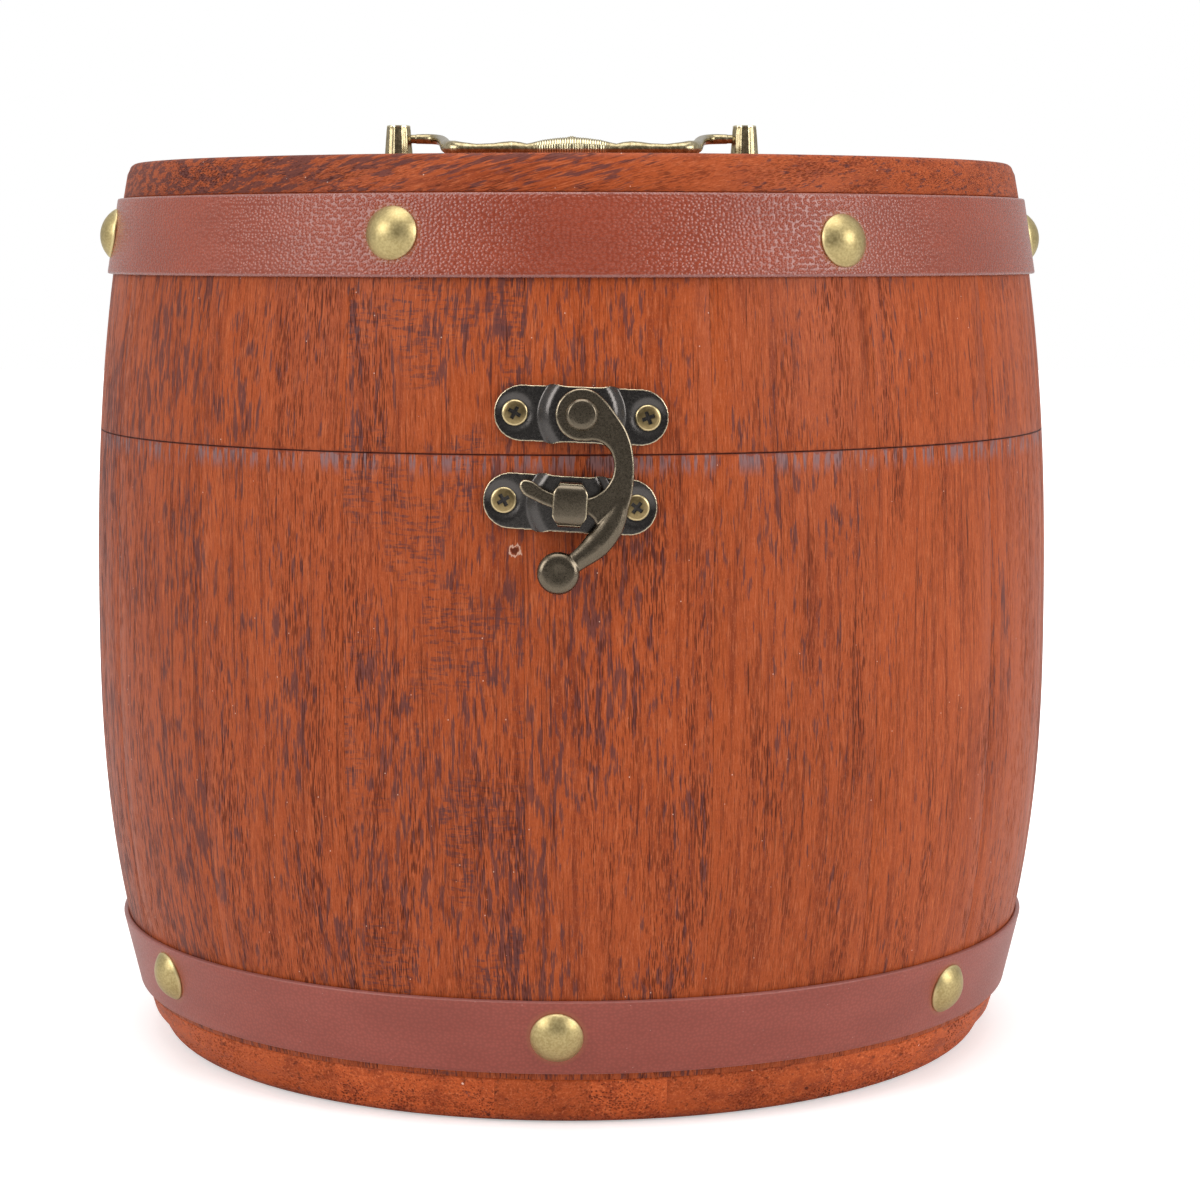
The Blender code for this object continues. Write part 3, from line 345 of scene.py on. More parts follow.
def close(smooth_angle=35):
    """Weld a mesh and shade it by angle."""
    weld()
    bpy.ops.object.shade_smooth_by_angle(angle=radians(smooth_angle))


def round_edges(sharpness, radius, segments, smooth_angle=35):
    """Round the sharp edges of the active piece, then weld and shade it."""
    bpy.ops.object.mode_set(mode="EDIT")
    bpy.ops.mesh.select_all(action="DESELECT")
    bpy.ops.mesh.edges_select_sharp(sharpness=radians(sharpness))
    bpy.ops.mesh.bevel(offset=radius, segments=segments, affect="EDGES")
    close(smooth_angle)


def side_points(high, low, rows):
    """Points down the turned outside."""
    heights = [high + (low - high) * i / rows for i in range(rows + 1)]
    return [(barrel_radius(z), z) for z in heights]


def stave(name, low, high, rows):
    """One stave, standing with its middle over +X."""
    section = side_points(high, low, rows) + [(APOTHEM, low), (APOTHEM, high)]
    piece = draw(name, section)
    bpy.ops.mesh.edge_face_add()
    angle = 2 * pi / STAVES - JOINT / BULGE_RADIUS
    bpy.ops.mesh.spin(steps=8, angle=angle, center=(0, 0, 0), axis=(0, 0, 1))
    weld()
    angles = [atan2(v.co.y, v.co.x) for v in piece.data.vertices]
    piece.data.transform(Matrix.Rotation(-(min(angles) + max(angles)) / 2, 4, "Z"))
    for corner in piece.data.vertices:
        if hypot(corner.co.x, corner.co.y) < APOTHEM + 0.01 * MM:
            corner.co.y *= APOTHEM / corner.co.x
            corner.co.x = APOTHEM
    round_edges(45, ARRIS, 2)
    return piece


def copy(piece, name):
    """Copy of a piece with a mesh of its own."""
    made = piece.copy()
    made.data = piece.data.copy()
    made.name = name
    bpy.context.scene.collection.objects.link(made)
    return made


def set_grain(piece, grain, look):
    """Write each face corner's grain coordinates (mm) and look: value, saw marks, stain."""
    lines = piece.data.attributes.new("grain", "FLOAT_VECTOR", "CORNER").data
    looks = piece.data.attributes.new("look", "FLOAT_VECTOR", "CORNER").data
    for face in piece.data.polygons:
        for loop in face.loop_indices:
            corner = piece.data.vertices[piece.data.loops[loop].vertex_index].co
            lines[loop].vector = grain(corner, face.center)
            looks[loop].vector = look(corner, face.center)


def fit(piece, body, nodes, finish, place=Matrix()):
    """Set a finished piece in place with its material, parent it to the body it moves with, and hide the
    CAD parts it stands for.
    """
    piece.data.transform(place)
    piece.data.materials.clear()
    piece.data.materials.append(finish)
    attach(piece, body)
    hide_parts(*nodes)


def choose(piece):
    """Select one piece alone and make it the active one."""
    bpy.ops.object.select_all(action="DESELECT")
    piece.select_set(True)
    bpy.context.view_layer.objects.active = piece


def modify(piece, kind, **settings):
    """Add a modifier with the given settings and apply it."""
    choose(piece)
    step = piece.modifiers.new(kind, kind)
    for name, value in settings.items():
        setattr(step, name, value)
    bpy.ops.object.modifier_apply(modifier=step.name)


def cut(piece, tool, operation="DIFFERENCE", keep=False):
    """Cut a piece with a tool, or join the tool to it, and drop the tool unless it is needed again."""
    modify(piece, "BOOLEAN", operation=operation, object=tool)
    if not keep:
        bpy.data.objects.remove(tool, do_unlink=True)


# Round the seam the wood is chipped; the chips and a thin line along the seam gap are painted dark as their
# shade. Under the latch lies a pale nick, its middle painted dark as the shade of its hollow.
BARE = (0.62, 0.40, 0.30, 1.0)
NICK_X, NICK_Z = -9.1 * MM, 97.1 * MM
SKIN_DEEP, SKIN_TOP = 1.2 * MM, 0.3 * MM
chips, given = group("seam_wear_and_shade", dict(Place="Vector", Grain="Vector", Outside="Float", Colour="Color"),
                     dict(Colour="Color"))
above = put(chips, "SeparateXYZ", {0: given["Place"]}).outputs[2]
from_seam = calc(chips, "ABSOLUTE", minus(chips, above, SEAM))
ragged = minus(chips, noise(chips, given["Grain"], (0.8, 0.8, 0.5), 4.0), 0.44)
ragged = times(chips, ragged, 3.0 * MM)
# Painted shade: the chips along the seam are darkened as their hollows would be in shade.
chip_shade = ramp(chips, minus(chips, from_seam, ragged), 0.05 * MM, -0.12 * MM, 0.0, 0.7)
# Painted shade: a thin dark line along the seam gap.
line = ramp(chips, from_seam, 0.22 * MM, 0.10 * MM, 0.0, 0.8)
nick = (NICK_X, -sqrt(barrel_radius(NICK_Z) ** 2 - NICK_X ** 2), NICK_Z)
torn = minus(chips, noise(chips, given["Place"], (1800, 1800, 1100), 3.0), 0.5)
# Round the nick: its middle is painted dark as the shade of its hollow, its ring pale as bare wood.
rag = plus(chips, span(chips, given["Place"], nick), times(chips, torn, 1.6 * MM))
ring = calc(chips, "ABSOLUTE", minus(chips, rag, 0.85 * MM))
give(chips, Colour=layers(
    chips, given["Colour"],
    (times(chips, chip_shade, given["Outside"]), DEEP),
    (times(chips, line, given["Outside"]), PORE),
    (ramp(chips, rag, 0.75 * MM, 0.45 * MM, 0.0, 0.8), PORE),
    (ramp(chips, ring, 0.22 * MM, 0.08 * MM, 0.0, 0.85), BARE)))


def wood_paint(name, lip_low, lip_high, rough):
    """Stained wood, with a worn lip between two heights and some extra roughness."""
    made, tree, shader = paint(name)
    spot = put(tree, "TexCoord").outputs["Object"]
    grain = put(tree, "Attribute", attribute_name="grain").outputs["Vector"]
    look = put(tree, "Attribute", attribute_name="look").outputs["Vector"]
    from_axis = span(tree, stretch(tree, spot, (1, 1, 0)))
    outside = ramp(tree, from_axis, barrel_radius(SEAM) - SKIN_DEEP, barrel_radius(SEAM) - SKIN_TOP)
    above = put(tree, "SeparateXYZ", {0: spot}).outputs[2]
    lip = times(tree, ramp(tree, above, lip_low, lip_high), outside)
    figure = put(tree, "Group", {"Grain": grain, "Look": look, "Lip": lip}, node_tree=wood)
    seam = put(tree, "Group", {"Place": spot, "Grain": grain, "Outside": outside,
                               "Colour": figure.outputs["Colour"]}, node_tree=chips)
    finish = {"Colour": seam.outputs["Colour"], "Height": figure.outputs["Height"],
              "Roughness": plus(tree, figure.outputs["Roughness"], rough)}
    coat(tree, shader, finish, 0.45, 0.12 * MM)
    shader.inputs["Specular IOR Level"].default_value = 0.14
    return made


body_wood = wood_paint("body_stave_wood", SEAM - LIP_LOW, SEAM - LIP_HIGH, 0.0)
lid_wood = wood_paint("lid_stave_wood", *NO_LIP, 0.0)
body_stave = stave("body_stave_pattern", BODY_LOW, SEAM - SEAM_GAP / 2, 26)
lid_stave = stave("lid_stave_pattern", SEAM + SEAM_GAP / 2, LID_HIGH, 12)

# The hinge seat is a flat pared across the staves at the back, as long as the leaves.
seat_radius = barrel_radius(SEAM)
seat_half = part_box("hinge_leaf_lid")[1][0] + SEAT_CLEAR
seat_depth = seat_radius - sqrt(seat_radius ** 2 - seat_half ** 2)
seat = start("seat", bpy.ops.mesh.primitive_cube_add, size=1)
seat_turn = Matrix.Rotation(atan(wall_slope(SEAM)), 4, "X")
seat.data.transform(Matrix.Translation((0, seat_radius, SEAM)) @ seat_turn
                    @ Matrix.Translation((0, SEAT_TOOL / 2 - seat_depth, 0))
                    @ Matrix.Diagonal((2 * seat_half, SEAT_TOOL, SEAT_HEIGHT, 1)))

LOOKS = {0: (0.98, 0.95, 0.05), 1: (1.0, 0.15, 0.045), 2: (0.99, 0.1, -0.02), 3: (1.05, 0.0, -0.06),
         4: (1.04, 0.0, -0.04), 17: (0.97, 0.12, 0.02), 16: (0.92, 0.0, 0.08),
         15: (0.94, 0.0, 0.09), 14: (0.92, 0.0, 0.08)}
chance = random.Random(7)
lid_pieces = []
for i in range(STAVES):
    middle = FIRST_JOINT + (i + 0.5) * 2 * pi / STAVES
    shift = Vector((chance.uniform(0, 400), chance.uniform(0, 400), chance.uniform(0, 400)))
    look = (chance.uniform(0.96, 1.05), chance.choice((0, 0, 0.5)), chance.uniform(-0.05, 0.05))
    look = LOOKS.get(i, look)
    turn = Matrix.Rotation(middle - pi / 2, 4, "Z")
    back = cos(middle) < -cos(SEAT_SPREAD)
    for pattern, name in ((body_stave, f"stave_{i + 1:02d}"), (lid_stave, f"lid_stave_{i}")):
        piece = copy(pattern, name)
        set_grain(piece, lambda corner, face: Vector((corner.y, 0.3 * corner.x, corner.z)) / MM + shift,
                  lambda corner, face: look)
        piece.data.transform(turn)
        if back:
            cut(piece, seat, keep=True)
        if pattern == lid_stave:
            lid_pieces.append(piece)
        else:
            fit(piece, "barrel", [f"body_stave_{i + 1:02d}"], body_wood)
for tool in (body_stave, lid_stave, seat):
    bpy.data.objects.remove(tool, do_unlink=True)
choose(lid_pieces[0])
for piece in lid_pieces:
    piece.select_set(True)
bpy.ops.object.join()
lid_ring = bpy.context.object
lid_ring.name = "lid_staves"
fit(lid_ring, "lid", ["lid_stave_ring"], lid_wood)

# Boards: the lid's top and the foot are full-width discs, glued up from strips and turned with the staves.
# The foot's strips run front to back, so its front edge is end grain; the lid's run from side to side.
LID_ROUND, LID_ARRIS_IN, LID_ARRIS_UP = 1.4 * MM, 0.12 * MM, 0.15 * MM
FOOT_ROUND, FOOT_ARRIS_IN, FOOT_ARRIS_DOWN = 4.0 * MM, 0.25 * MM, 0.3 * MM
BOARD_RING = 40 * MM
FIGURE = radians(13)
SCARF = 10
STRIP_STEP = Vector((57, 31, 83))


def arc(centre, radius, start, end, count):
    """Points of a circular arc, angles in degrees."""
    angles = [radians(start + (end - start) * i / count) for i in range(count + 1)]
    return [(centre[0] + radius * cos(a), centre[1] + radius * sin(a)) for a in angles]


def turned(name, points, steps=32, smooth_angle=35):
    """Solid of revolution from a half section that runs from the axis to the axis."""
    piece = draw(name, points)
    bpy.ops.mesh.spin(steps=steps, angle=2 * pi, center=(0, 0, 0), axis=(0, 0, 1))
    close(smooth_angle)
    return piece


def split(piece, point, normal):
    """Put edges along the plane of a joint between two strips."""
    choose(piece)
    bpy.ops.object.mode_set(mode="EDIT")
    bpy.ops.mesh.select_all(action="SELECT")
    bpy.ops.mesh.bisect(plane_co=point, plane_no=normal)
    bpy.ops.mesh.select_all(action="DESELECT")
    bpy.ops.object.mode_set(mode="OBJECT")


board_wood = wood_paint("board_wood", *NO_LIP, 0.06)
lid_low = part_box("lid_board")[0][2]
rim = arc((LID_EDGE_RADIUS - LID_ROUND, HEIGHT - LID_ROUND), LID_ROUND, 90, 12, 6)
lid_points = [(0, HEIGHT), (BOARD_RING, HEIGHT)] + rim
lid_points += side_points(HEIGHT - 1.4 * LID_ROUND, lid_low + LID_ARRIS_UP, 4)
lid_points += [(barrel_radius(lid_low) - LID_ARRIS_IN, lid_low), (BOARD_RING, lid_low), (0, lid_low)]
lid_board = turned("lid_top", lid_points, 120)
scarf_point = Vector((-43 * MM, 0, 154 * MM))
scarf_normal = Vector((-6, 0, 23)).normalized()
lid_joints = (-46 * MM, -17 * MM, 21 * MM, 49 * MM)
under_face, top_face = lid_low + 0.1 * MM, HEIGHT - 0.02 * MM
split(lid_board, scarf_point, scarf_normal)
for y in lid_joints:
    split(lid_board, (0, y, 0), (0, 1, 0))


def lid_strip(face):
    """Number of the strip that a face of the lid board lies on."""
    row = sum(face.y > y for y in lid_joints)
    over = (face - scarf_point).dot(scarf_normal) > 0
    return SCARF if row < 2 and over and face.x < 0 else row


def lid_grain(corner, face):
    """Grain of the lid board: along the strips on its faces, rising slowly to the right in its rim."""
    along = corner.x * cos(FIGURE) + corner.z * sin(FIGURE)
    across, deep = corner.z * cos(FIGURE) - corner.x * sin(FIGURE), 0.4 * corner.y
    if not under_face < face.z < top_face:
        across, deep, along = corner.y, 0.4 * corner.z, corner.x
    return Vector((across, deep, along)) / MM + lid_strip(face) * STRIP_STEP


def lid_look(corner, face):
    """Look of the lid board: the scarf piece is greyer, and the underside has no polish to hold stain."""
    if face.z < under_face:
        return (1.0, 0.0, -0.1)
    if face.z > top_face:
        return (0.97, 0.0, 0.0)
    return (0.82, 0.0, 0.16) if lid_strip(face) == SCARF else (0.97, 0.0, 0.05)


set_grain(lid_board, lid_grain, lid_look)
fit(lid_board, "lid", ["lid_board"], board_wood)

foot_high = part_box("bottom_board")[1][2]
foot_rim = arc((FOOT_EDGE_RADIUS - FOOT_ROUND, FOOT_ROUND), FOOT_ROUND, -12, -90, 10)
foot_points = [(0, foot_high), (BOARD_RING, foot_high)]
foot_points += [(barrel_radius(foot_high) - FOOT_ARRIS_IN, foot_high)]
foot_points += side_points(foot_high - FOOT_ARRIS_DOWN, 1.3 * FOOT_ROUND, 3)
foot_points += foot_rim + [(BOARD_RING, 0), (0, 0)]
bottom_board = turned("foot", foot_points, 120)
foot_joints = (-67 * MM, -40 * MM, -13 * MM, 3 * MM, 15.6 * MM, 44 * MM, 66 * MM)
for x in foot_joints:
    split(bottom_board, (x, 0, 0), (1, 0, 0))


def foot_strip(face):
    """Number of the strip that a face of the bottom board lies on."""
    return sum(face.x > x for x in foot_joints)


def foot_grain(corner, face):
    """Grain of the foot, which runs front to back, so that its edge shows coarse end grain."""
    return Vector((0.42 * corner.x, 0.42 * corner.z, corner.y)) / MM + foot_strip(face) * STRIP_STEP


# Value of each foot strip: the strips differ in tone, and all are raised well above one as painted light,
# since the lamps above leave the foot dim.
FOOT_TONES_AND_LIGHT = (1.25, 1.25, 1.42, 1.18, 1.45, 1.22, 1.45, 1.4)
set_grain(bottom_board, foot_grain, lambda corner, face: (FOOT_TONES_AND_LIGHT[foot_strip(face)], 0.0, -0.16))
fit(bottom_board, "barrel", ["bottom_board"], board_wood)

# Straps: plain strips of split leather, pressed with a pebble grain, wrapped round and lapped at the back.
# They are held by tacks alone; the cut edges are paler than the dyed face.
STRAP_WIDTH = 12.8 * MM
STRAP_THICKNESS = 0.7 * MM
STRAP_LAP = 16 * MM
FIT_GAP = 0.3 * MM
PEBBLES = (1.5, 1.75, 1.0)
PEBBLE_DEPTH = 0.16 * MM
STRAP_ROUND = 0.28 * MM
PRESS_GLOW_FAR, PRESS_GLOW_NEAR = 5.4 * MM, 4.5 * MM
HIDE_HOLLOW_SHADE = (0.14, 0.024, 0.014, 1)
HIDE_SPECK = (0.6, 0.4, 0.35, 1)
HIDE_EDGE = (0.30, 0.17, 0.16, 1)
HIDE_PRESSED_GLOW = (0.33, 0.105, 0.045, 1)
LID_STRAP_EXTRA = 0.6 * MM
LID_TACKS = ((-20.0, 0.7), (31.5, -0.5), (89.0, 0.4), (134.0, 0), (-174.0, 0), (-123.0, 0), (-78.0, 0.9))
BODY_TACKS = ((-58.5, 0.9), (-1.8, 0.1), (51.5, 0.4), (101.5, 0), (151.5, 0), (-158.5, 0), (-108.5, 0))
LID_LAP, BODY_LAP = 4, 5


def wall_frame(azimuth, z, radius=None, slope=None):
    """Frame on the wall: X to the right, Y up along the wall, Z outward."""
    if radius is None:
        radius = barrel_radius(z)
    if slope is None:
        slope = wall_slope(z)
    out = Vector((sin(azimuth), -cos(azimuth), 0))
    right = Vector((cos(azimuth), sin(azimuth), 0))
    up = (out * slope + Vector((0, 0, 1))).normalized()
    made = Matrix((right, up, right.cross(up))).transposed().to_4x4()
    made.translation = out * radius + Vector((0, 0, z))
    return made


def tack_frames(low, tacks, lap):
    """Frames of tacks (degrees, rise in mm) outside a strap; tack number lap holds both layers."""
    low_radius = barrel_radius(low) + FIT_GAP
    lean = (barrel_radius(low + STRAP_WIDTH) + FIT_GAP - low_radius) / STRAP_WIDTH
    frames = []
    for i, (around, rise) in enumerate(tacks):
        up = STRAP_WIDTH / 2 + rise * MM
        outside = low_radius + lean * up + STRAP_THICKNESS * hypot(1, lean) - 0.1 * MM
        if i == lap:
            outside += STRAP_THICKNESS + FIT_GAP
        frames.append(wall_frame(radians(around), low + up, outside, lean))
    return frames


body_strap_low = 10.2 * MM
lid_strap_low = HEIGHT - 7 * MM - STRAP_WIDTH
body_tack_frames = tack_frames(body_strap_low, BODY_TACKS, BODY_LAP)
lid_tack_frames = tack_frames(lid_strap_low, LID_TACKS, LID_LAP)

hide, given = group("strap_hide", dict(Lay="Vector", Low="Color", High="Color", PressedGlow="Float",
                                       Rough="Float"), FINISH)
across = calc(hide, "ABSOLUTE", put(hide, "SeparateXYZ", {0: given["Lay"]}).outputs[1])
waver = put(hide, "TexNoise", {"Vector": given["Lay"], "Scale": 1.2, "Detail": 2.0}).outputs["Color"]
bent = put(hide, "VectorMath", {0: given["Lay"], 1: stretch(hide, waver, (0.3, 0.3, 0))}, operation="ADD")
grains = put(hide, "TexVoronoi", {"Vector": stretch(hide, bent.outputs[0], PEBBLES), "Scale": 1.0,
                                  "Randomness": 0.75}, voronoi_dimensions="2D").outputs["Distance"]
grains = ramp(hide, grains, 0.0, 0.62)
creases = noise(hide, given["Lay"], (2.2, 4.0, 1.0), 3.0)
cloud = noise(hide, given["Lay"], (0.06, 0.15, 0.1), 3.0)
specks = cells(hide, given["Lay"], (0.5, 0.5, 0.5))
edge = STRAP_WIDTH / MM / 2
colour = layers(
    hide, given["Low"],
    (ramp(hide, cloud, 0.3, 0.7), given["High"]),
    # Painted shade: the hollows between the pebbles are darkened.
    (times(hide, grains, 0.35), HIDE_HOLLOW_SHADE),
    (ramp(hide, specks, 0.05, 0.03, 0.0, 0.4), HIDE_SPECK),
    (ramp(hide, across, edge - 0.25, edge + 0.1, 0.0, 0.45), HIDE_EDGE),
    # Round the tacks: pressed leather, and a painted glow reflected from the brass.
    (times(hide, given["PressedGlow"], 0.55), HIDE_PRESSED_GLOW))
matt = ramp(hide, creases, 0.3, 0.7, -0.05, 0.05)
give(hide, Colour=colour, Roughness=plus(hide, matt, given["Rough"]),
     Height=minus(hide, times(hide, creases, 0.25), grains))


def leather_paint(name, colours, pebble, rough, shine, frames):
    """Dyed leather in two colours: strength of its pebbles, roughness, shine, and tacks round which it is
    painted paler, as pressed leather and as painted glow from the brass.
    """
    made, tree, shader = paint(name)
    lay = put(tree, "Attribute", attribute_name="lay").outputs["Vector"]
    spot = put(tree, "TexCoord").outputs["Object"]
    near = 1.0
    for place in frames:
        near = calc(tree, "MINIMUM", near, span(tree, spot, place.translation))
    # Within a millimetre round each tack the leather is painted orange: pressed leather and painted glow
    # from the brass.
    pressed_and_glow = ramp(tree, near, PRESS_GLOW_FAR, PRESS_GLOW_NEAR)
    skin = put(tree, "Group", {"Lay": lay, "Low": colours[0], "High": colours[1], "PressedGlow": pressed_and_glow,
                               "Rough": rough}, node_tree=hide)
    coat(tree, shader, skin.outputs, pebble, PEBBLE_DEPTH)
    shader.inputs["Specular IOR Level"].default_value = shine
    return made


def ease(share):
    """Smooth step from 0 to 1."""
    share = min(max(share, 0), 1)
    return share * share * (3 - 2 * share)


def strap(name, low, width, lap_azimuth):
    """A wrapped strip of a width from a lower height, its ends lapped round an azimuth."""
    low_radius = barrel_radius(low) + GLUE_LINE
    high_radius = barrel_radius(low + width) + GLUE_LINE
    lap_angle = STRAP_LAP / low_radius
    piece = start(name, bpy.ops.mesh.primitive_grid_add, x_subdivisions=260, y_subdivisions=8, size=1)
    lay = piece.data.attributes.new("lay", "FLOAT_VECTOR", "POINT").data
    for corner in piece.data.vertices:
        angle = (corner.co.x + 0.5) * (2 * pi + lap_angle)
        rise = (STRAP_THICKNESS + FIT_GAP) * ease(1 - (2 * pi - angle) / lap_angle)
        up = corner.co.y + 0.5
        radius = low_radius + (high_radius - low_radius) * up + rise
        azimuth = lap_azimuth - lap_angle / 2 + angle
        lay[corner.index].vector = (angle * low_radius / MM, corner.co.y * width / MM, low / MM)
        corner.co = (radius * sin(azimuth), -radius * cos(azimuth), low + width * up)
    modify(piece, "SOLIDIFY", thickness=STRAP_THICKNESS + FIT_GAP - GLUE_LINE, offset=1)
    round_edges(60, STRAP_ROUND, 3, 50)
    return piece


smooth = leather_paint("smooth_leather", ((0.280, 0.056, 0.036, 1), (0.325, 0.069, 0.046, 1)),
                       0.08, 0.38, 0.45, body_tack_frames)
pebbled = leather_paint("pebbled_leather", ((0.265, 0.043, 0.016, 1), (0.305, 0.052, 0.020, 1)),
                        0.5, 0.25, 0.6, lid_tack_frames)
lap_body = radians(BODY_TACKS[BODY_LAP][0])
lap_lid = radians(LID_TACKS[LID_LAP][0])
lower_strap = strap("lower_strap", body_strap_low, STRAP_WIDTH, lap_body)
fit(lower_strap, "barrel", ["body_strap"], smooth)
upper_strap = strap("upper_strap", lid_strap_low, STRAP_WIDTH + LID_STRAP_EXTRA, lap_lid)
fit(upper_strap, "lid", ["lid_strap"], pebbled)

# Tacks: stamped brass domes with a rolled rim, seven to a strap, driven through it into the staves.
# Handling has left them satin, with a little dark polish in the pitting and along the rim.
TACK_RADIUS = 4.4 * MM
TACK_HEIGHT = 2.5 * MM
TACK_EDGE = 0.3 * MM
GRIME_AND_SHADE = (0.02, 0.016, 0.012, 1)


def mm(*points):
    """Points given in millimetres."""
    return [tuple(value * MM for value in point) for point in points]


metal, given = group("worn_shaded_metal", dict(Place="Vector", WearAndShade="Float", Dark="Color", Plain="Color",
                                        Bright="Color", Scale="Float", Rough="Float"), FINISH)
cloud = put(metal, "TexNoise", {"Vector": given["Place"], "Scale": given["Scale"],
                                "Detail": 5.0}).outputs[0]
pits = put(metal, "TexNoise", {"Vector": given["Place"], "Detail": 3.0,
                               "Scale": times(metal, given["Scale"], 4.0)}).outputs[0]
pits = ramp(metal, pits, 0.56, 0.72)
rubbed = plus(metal, given["WearAndShade"], times(metal, minus(metal, cloud, 0.5), 0.05))
colour = layers(
    metal, given["Dark"],
    (ramp(metal, cloud, 0.30, 0.74), given["Plain"]),
    (ramp(metal, rubbed, 0.045, 0.12), given["Bright"]),
    # Dark in the hollows: patina, and in the screws' recesses painted shade.
    (ramp(metal, given["WearAndShade"], -0.04, -0.22, 0.0, 0.8), GRIME_AND_SHADE),
    (times(metal, pits, 0.25), given["Dark"]))
matt = ramp(metal, cloud, 0.3, 0.7, -0.02, 0.05)
give(metal, Colour=colour, Roughness=plus(metal, matt, given["Rough"]), Height=minus(metal, cloud, pits))


def metal_paint(name, dark, plain, bright, rough, scale):
    """Metal whose hollows are dark and whose proud edges are rubbed bright, with fine pitting."""
    made, tree, shader = paint(name)
    finish = put(tree, "Group", {
        "Place": put(tree, "TexCoord").outputs["Object"],
        "WearAndShade": put(tree, "Attribute", attribute_name="wear_and_shade").outputs["Fac"],
        "Dark": dark, "Plain": plain, "Bright": bright, "Scale": scale, "Rough": rough}, node_tree=metal)
    coat(tree, shader, finish.outputs, 0.12, 0.03 * MM)
    shader.inputs["Metallic"].default_value = 1.0
    return made


def set_wear(piece, spread=1):
    """Mark proud edges above zero and hollows below it."""
    shape = bmesh.new()
    shape.from_mesh(piece.data)
    shape.normal_update()
    levels = []
    for corner in shape.verts:
        lean = [(corner.co - edge.other_vert(corner).co).normalized().dot(corner.normal)
                for edge in corner.link_edges]
        levels.append(sum(lean) / max(len(lean), 1))
    shape.verts.ensure_lookup_table()
    for step in range(spread):
        levels = [(levels[v.index] + sum(levels[e.other_vert(v).index] for e in v.link_edges))
                  / (1 + len(v.link_edges)) for v in shape.verts]
    shape.free()
    marks = piece.data.attributes.new("wear_and_shade", "FLOAT", "POINT")
    marks.data.foreach_set("value", levels)


dome_height = TACK_HEIGHT - TACK_EDGE
dome = (TACK_RADIUS ** 2 + dome_height ** 2) / (2 * dome_height)
spread_angle = degrees(asin(TACK_RADIUS * 0.985 / dome))
tack_points = arc((0, TACK_HEIGHT - dome), dome, 90, 90 - spread_angle, 12)
tack_points += [(TACK_RADIUS, 0.22 * MM), (TACK_RADIUS * 0.99, 0.06 * MM), (TACK_RADIUS * 0.95, 0)]
tack_points += mm((0.8, 0), (0.8, -4), (0, -5.4))
tack = turned("tack_pattern", tack_points, 40, 50)
set_wear(tack, 1)
brass = metal_paint("tack_brass", (0.40, 0.31, 0.135, 1), (0.55, 0.445, 0.215, 1),
                    (0.62, 0.51, 0.26, 1), 0.41, 2600)
for strap_name, body, frames in (("body_strap", "barrel", body_tack_frames),
                                 ("lid_strap", "lid", lid_tack_frames)):
    for i, place in enumerate(frames):
        piece = copy(tack, f"{strap_name}_brass_{i + 1}")
        fit(piece, body, [f"{strap_name}_tack_{i + 1}"], brass, place)
bpy.data.objects.remove(tack, do_unlink=True)

# Screws: small countersunk cross-head wood screws in yellow brass, their recesses painted near black as
# painted shade.
# Each was driven by hand, so the crosses stand at different angles.
RECESS_REACH, RECESS_HALF, RECESS_DEEP = 1.3 * MM, 0.36 * MM, 0.75 * MM


def cube(name, low, high):
    """Block between two corners."""
    piece = start(name, bpy.ops.mesh.primitive_cube_add, size=1)
    low, high = Vector(low), Vector(high)
    piece.data.transform(Matrix.Translation((low + high) / 2) @ Matrix.Diagonal((*(high - low), 1)))
    return piece


screw = turned("screw_pattern", mm(
    (0, 0.2), (1.2, 0.17), (1.8, 0.07), (2.02, -0.02), (2.1, -0.14), (2.1, -0.25),
    (1.0, -1.2), (1.0, -6.5), (0, -8.4)), 40)
for turn in (0, pi / 2):
    recess = cube("recess", (-RECESS_REACH, -RECESS_HALF, -RECESS_DEEP), (RECESS_REACH, RECESS_HALF, MM))
    for corner in recess.data.vertices:
        if corner.co.z < 0:
            corner.co.x *= 0.62
            corner.co.y *= 0.7
    recess.data.transform(Matrix.Rotation(turn, 4, "Z"))
    cut(screw, recess)
marks = screw.data.attributes.new("wear_and_shade", "FLOAT", "FACE").data
for face in screw.data.polygons:
    reach = hypot(face.center.x, face.center.y)
    # Painted shade: faces in the cross recess get a low mark, which the metal paints near black.
    recess_shade = -1 * MM < face.center.z < 0 and reach < 1.6 * MM
    on_rim = face.center.z < 0.1 * MM and reach > 1.7 * MM
    marks[face.index].value = -0.4 if recess_shade else 0.2 * on_rim
screw_brass = metal_paint("screw_brass", (0.24, 0.175, 0.080, 1), (0.34, 0.250, 0.120, 1),
                          (0.58, 0.46, 0.25, 1), 0.30, 2500)


def drive(name, node, place, angle, body):
    """A screw at a frame whose Z points out of the plate."""
    place = place @ Matrix.Rotation(radians(angle), 4, "Z")
    fit(copy(screw, name), body, [node], screw_brass, place)


# Latch plates: stadium blanks cut from steel sheet, pressed up in the middle to clear the rivet's tail
# and the loop's feet, dished round the screws, bent to the barrel and finished in antique bronze.
PLATE_LENGTH = 27.6 * MM
PLATE_WIDTH = 8.9 * MM
PLATE_THICKNESS = 0.8 * MM
PLATE_SCREWS = 10.5 * MM
HUMP_RISE, HUMP_HALF, HUMP_SWELL, HUMP_RUN = 1.5 * MM, 5.3 * MM, 1.6 * MM, 2.3 * MM
DISH_DEPTH, DISH_RADIUS, DISH_RUN = 0.25 * MM, 3.4 * MM, 1.3 * MM
bronze = metal_paint("dark_bronze", (0.083, 0.076, 0.072, 1), (0.094, 0.086, 0.080, 1),
                     (0.60, 0.50, 0.34, 1), 0.24, 2600)


